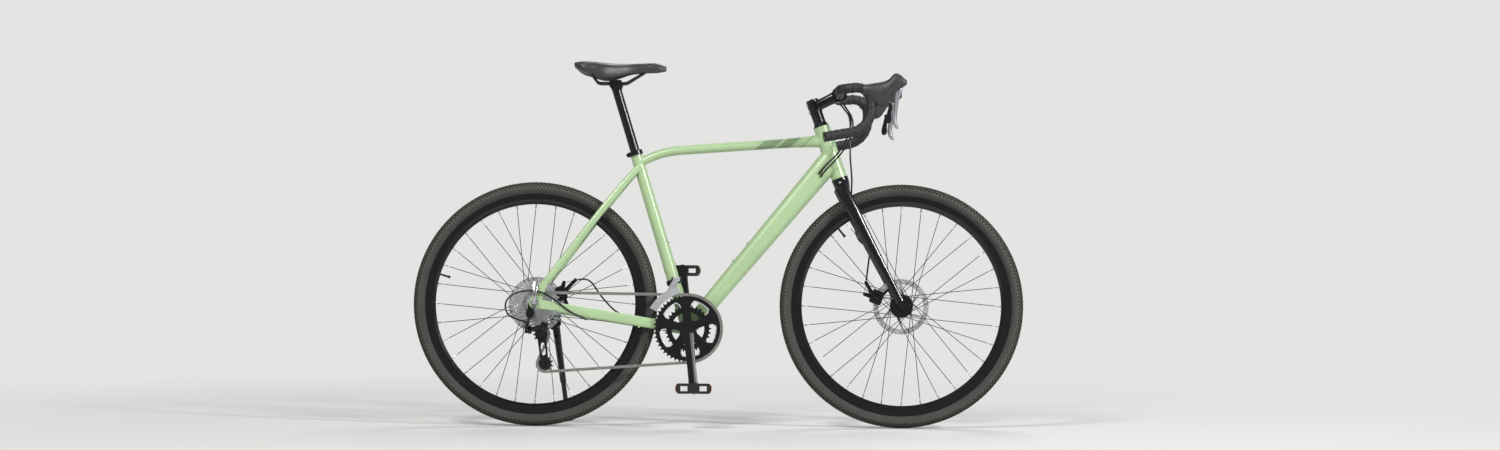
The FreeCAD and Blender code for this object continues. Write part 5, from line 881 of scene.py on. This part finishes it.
def weld_loop(label, name, other, start, along, side):
    # The tube's cut end lies on its neighbour, and its outermost points there carry the bead
    up = V((0, 1, 0))
    up = (up - along * up.dot(along)).normalized()
    cross = along.cross(up)
    bins = [None] * WELD_BINS
    for p in meeting_points(name, other, side):
        away = p - start
        out = V((away.dot(up), away.dot(cross)))
        slot = int((math.atan2(out.y, out.x) / (2 * math.pi) + 1.0) * WELD_BINS) % WELD_BINS
        if bins[slot] is None or out.length > bins[slot][0]:
            bins[slot] = (out.length, p)
    loop = [b[1] for b in bins if b is not None]
    if len(loop) < WELD_LEAST:
        print("weld", label, "has too few points", len(loop))
        return []
    for _ in range(2):
        loop = [(loop[i - 1] + loop[i] * 2 + loop[(i + 1) % len(loop)]) / 4 for i in range(len(loop))]
    line = []
    for i, p in enumerate(loop):
        q = loop[(i + 1) % len(loop)]
        count = max(1, int(round((q - p).length / (WELD_STEP / 4))))
        line += [p.lerp(q, k / count) for k in range(count)]
    return line


def weld(label, name, other, start, end, side=0):
    along = (end - start).normalized()
    line = weld_loop(label, name, other, start, along, side)
    if not line:
        return
    run = 0.0
    points = []
    for i, p in enumerate(line):
        tangent = (line[(i + 1) % len(line)] - line[i - 1]).normalized()
        run += (p - line[i - 1]).length
        out = (along - tangent * along.dot(tangent)).normalized()
        radius = WELD_R * (1.0 + WELD_RIPPLE * math.sin(2 * math.pi * run / WELD_STEP))
        points += round_section(p, out, tangent.cross(out), radius, WELD_SIDES)
    faces = ring_faces(len(line), WELD_SIDES, True)
    fix_normals(piece("weld_" + label, points, faces, [PAINT], "frame"))


# Each weld: the tube that ends there, its neighbour, and a line along the tube
weld("top_head", "top_tube", "head_tube", V((700, 0, 815)), V((840, 0, 822)))
weld("down_head", "down_tube", "head_tube", BB, DOWN_HEAD)
weld("top_seat", "top_tube", "seat_tube", V((500, 0, 790)), SEAT_TOP + V((10, 0, -40)))
weld("down_shell", "down_tube", "bb_shell", DOWN_HEAD, BB)
weld("seat_shell", "seat_tube", "bb_shell", SEAT_TOP, BB)
for side, label in ((-1, "right"), (1, "left")):
    weld("chainstay_" + label, "chainstays", "bb_shell",
         V((200, side * 45, 320)), V((430, side * 25, 283)), side)
    weld("seatstay_" + label, "seatstays", "seat_tube",
         V((150, side * 40, 560)), V((300, side * 14, 740)), side)


# Stage: a pale floor, soft lights and the photograph's camera

BACKGROUND = linear(228, 228, 226)
FLOOR_R = 60.0
FLOOR_SIDES = 96
FADE_START = 0.9
FADE_END = 3.2
WORLD_LIGHT = 0.27


def seen_directly(tree):
    # One for camera rays, zero for the rest
    path = node(tree, "ShaderNodeLightPath")
    return path.outputs["Is Camera Ray"]


def make_floor():
    # Away from the bike the floor fades into the background
    mat = surface("pale_floor", (206, 206, 204), 0.85, 0.0, 0.01, 2.0, 0.02, 200.0)
    tree = mat.node_tree
    place = node(tree, "ShaderNodeTexCoord")
    away = node(tree, "ShaderNodeVectorMath", operation="LENGTH")
    join(tree, place, "Object", away, 0)
    fade = node(tree, "ShaderNodeMapRange", interpolation_type="SMOOTHSTEP")
    fade.inputs["From Min"].default_value = FADE_START
    fade.inputs["From Max"].default_value = FADE_END
    tree.links.new(away.outputs["Value"], fade.inputs["Value"])
    mask = product(tree, fade.outputs["Result"], seen_directly(tree))
    glow = node(tree, "ShaderNodeEmission")
    glow.inputs["Color"].default_value = BACKGROUND
    mix = node(tree, "ShaderNodeMixShader")
    tree.links.new(mask, mix.inputs[0])
    join(tree, tree.nodes["Principled BSDF"], "BSDF", mix, 1)
    join(tree, glow, "Emission", mix, 2)
    join(tree, mix, "Shader", tree.nodes["Material Output"], "Surface")
    mesh = bpy.data.meshes.new("floor")
    rim = round_section(V((0, 0, 0)), V((1, 0, 0)), V((0, 1, 0)), FLOOR_R, FLOOR_SIDES)
    mesh.from_pydata([tuple(p) for p in rim], [], [tuple(range(FLOOR_SIDES))])
    mesh.materials.append(mat)
    obj = bpy.data.objects.new("floor", mesh)
    bpy.context.scene.collection.objects.link(obj)


make_floor()


def area_light(name, place, target, size, power, color=(1.0, 1.0, 1.0)):
    lamp = bpy.data.lights.new(name, "AREA")
    lamp.shape = "SQUARE"
    lamp.size = size
    lamp.energy = power
    lamp.color = color
    obj = bpy.data.objects.new(name, lamp)
    obj.location = place
    obj.rotation_euler = (V(target) - V(place)).to_track_quat("-Z", "Y").to_euler()
    bpy.context.scene.collection.objects.link(obj)


area_light("key", (-3.0, -5.0, 6.0), (0.0, 0.0, 0.5), 2.0, 400.0, (1.0, 0.98, 0.95))
area_light("fill", (5.0, -3.6, 3.4), (0.0, 0.0, 0.6), 0.8, 300.0, (0.96, 0.98, 1.0))
area_light("back", (1.5, 4.0, 5.0), (0.0, 0.0, 0.6), 3.0, 180.0)

world = bpy.data.worlds.new("studio")
bpy.context.scene.world = world
world.use_nodes = True
sky = world.node_tree
lit = sky.nodes["Background"]
lit.inputs["Color"].default_value = (0.95, 0.97, 1.0, 1.0)
lit.inputs["Strength"].default_value = WORLD_LIGHT
shown = node(sky, "ShaderNodeBackground")
shown.inputs["Color"].default_value = BACKGROUND
pick = node(sky, "ShaderNodeMixShader")
sky.links.new(seen_directly(sky), pick.inputs[0])
join(sky, lit, "Background", pick, 1)
join(sky, shown, "Background", pick, 2)
join(sky, pick, "Shader", sky.nodes["World Output"], "Surface")

# Camera: the width that it sees at the bike, its distance and height in metres, and its roll
VIEW_WIDTH = 4.3156
VIEW_DISTANCE = 14.0
VIEW_HEIGHT = 0.9
VIEW_ROLL = math.radians(0.39)
SENSOR = 36.0
aim = V((0.0892, -0.037, 0.581))
eye = V((aim.x, aim.y - VIEW_DISTANCE, VIEW_HEIGHT))
lens = bpy.data.cameras.new("photo")
lens.sensor_width = SENSOR
lens.lens = SENSOR * VIEW_DISTANCE / VIEW_WIDTH
lens.clip_end = 200.0
camera = bpy.data.objects.new("photo", lens)
camera.location = eye
camera.rotation_mode = "QUATERNION"
level = (aim - eye).to_track_quat("-Z", "Y")
camera.rotation_quaternion = level @ Matrix.Rotation(VIEW_ROLL, 3, "Z").to_quaternion()
bpy.context.scene.collection.objects.link(camera)
bpy.context.scene.camera = camera
bpy.context.scene.view_settings.view_transform = "Standard"

bpy.context.view_layer.update()
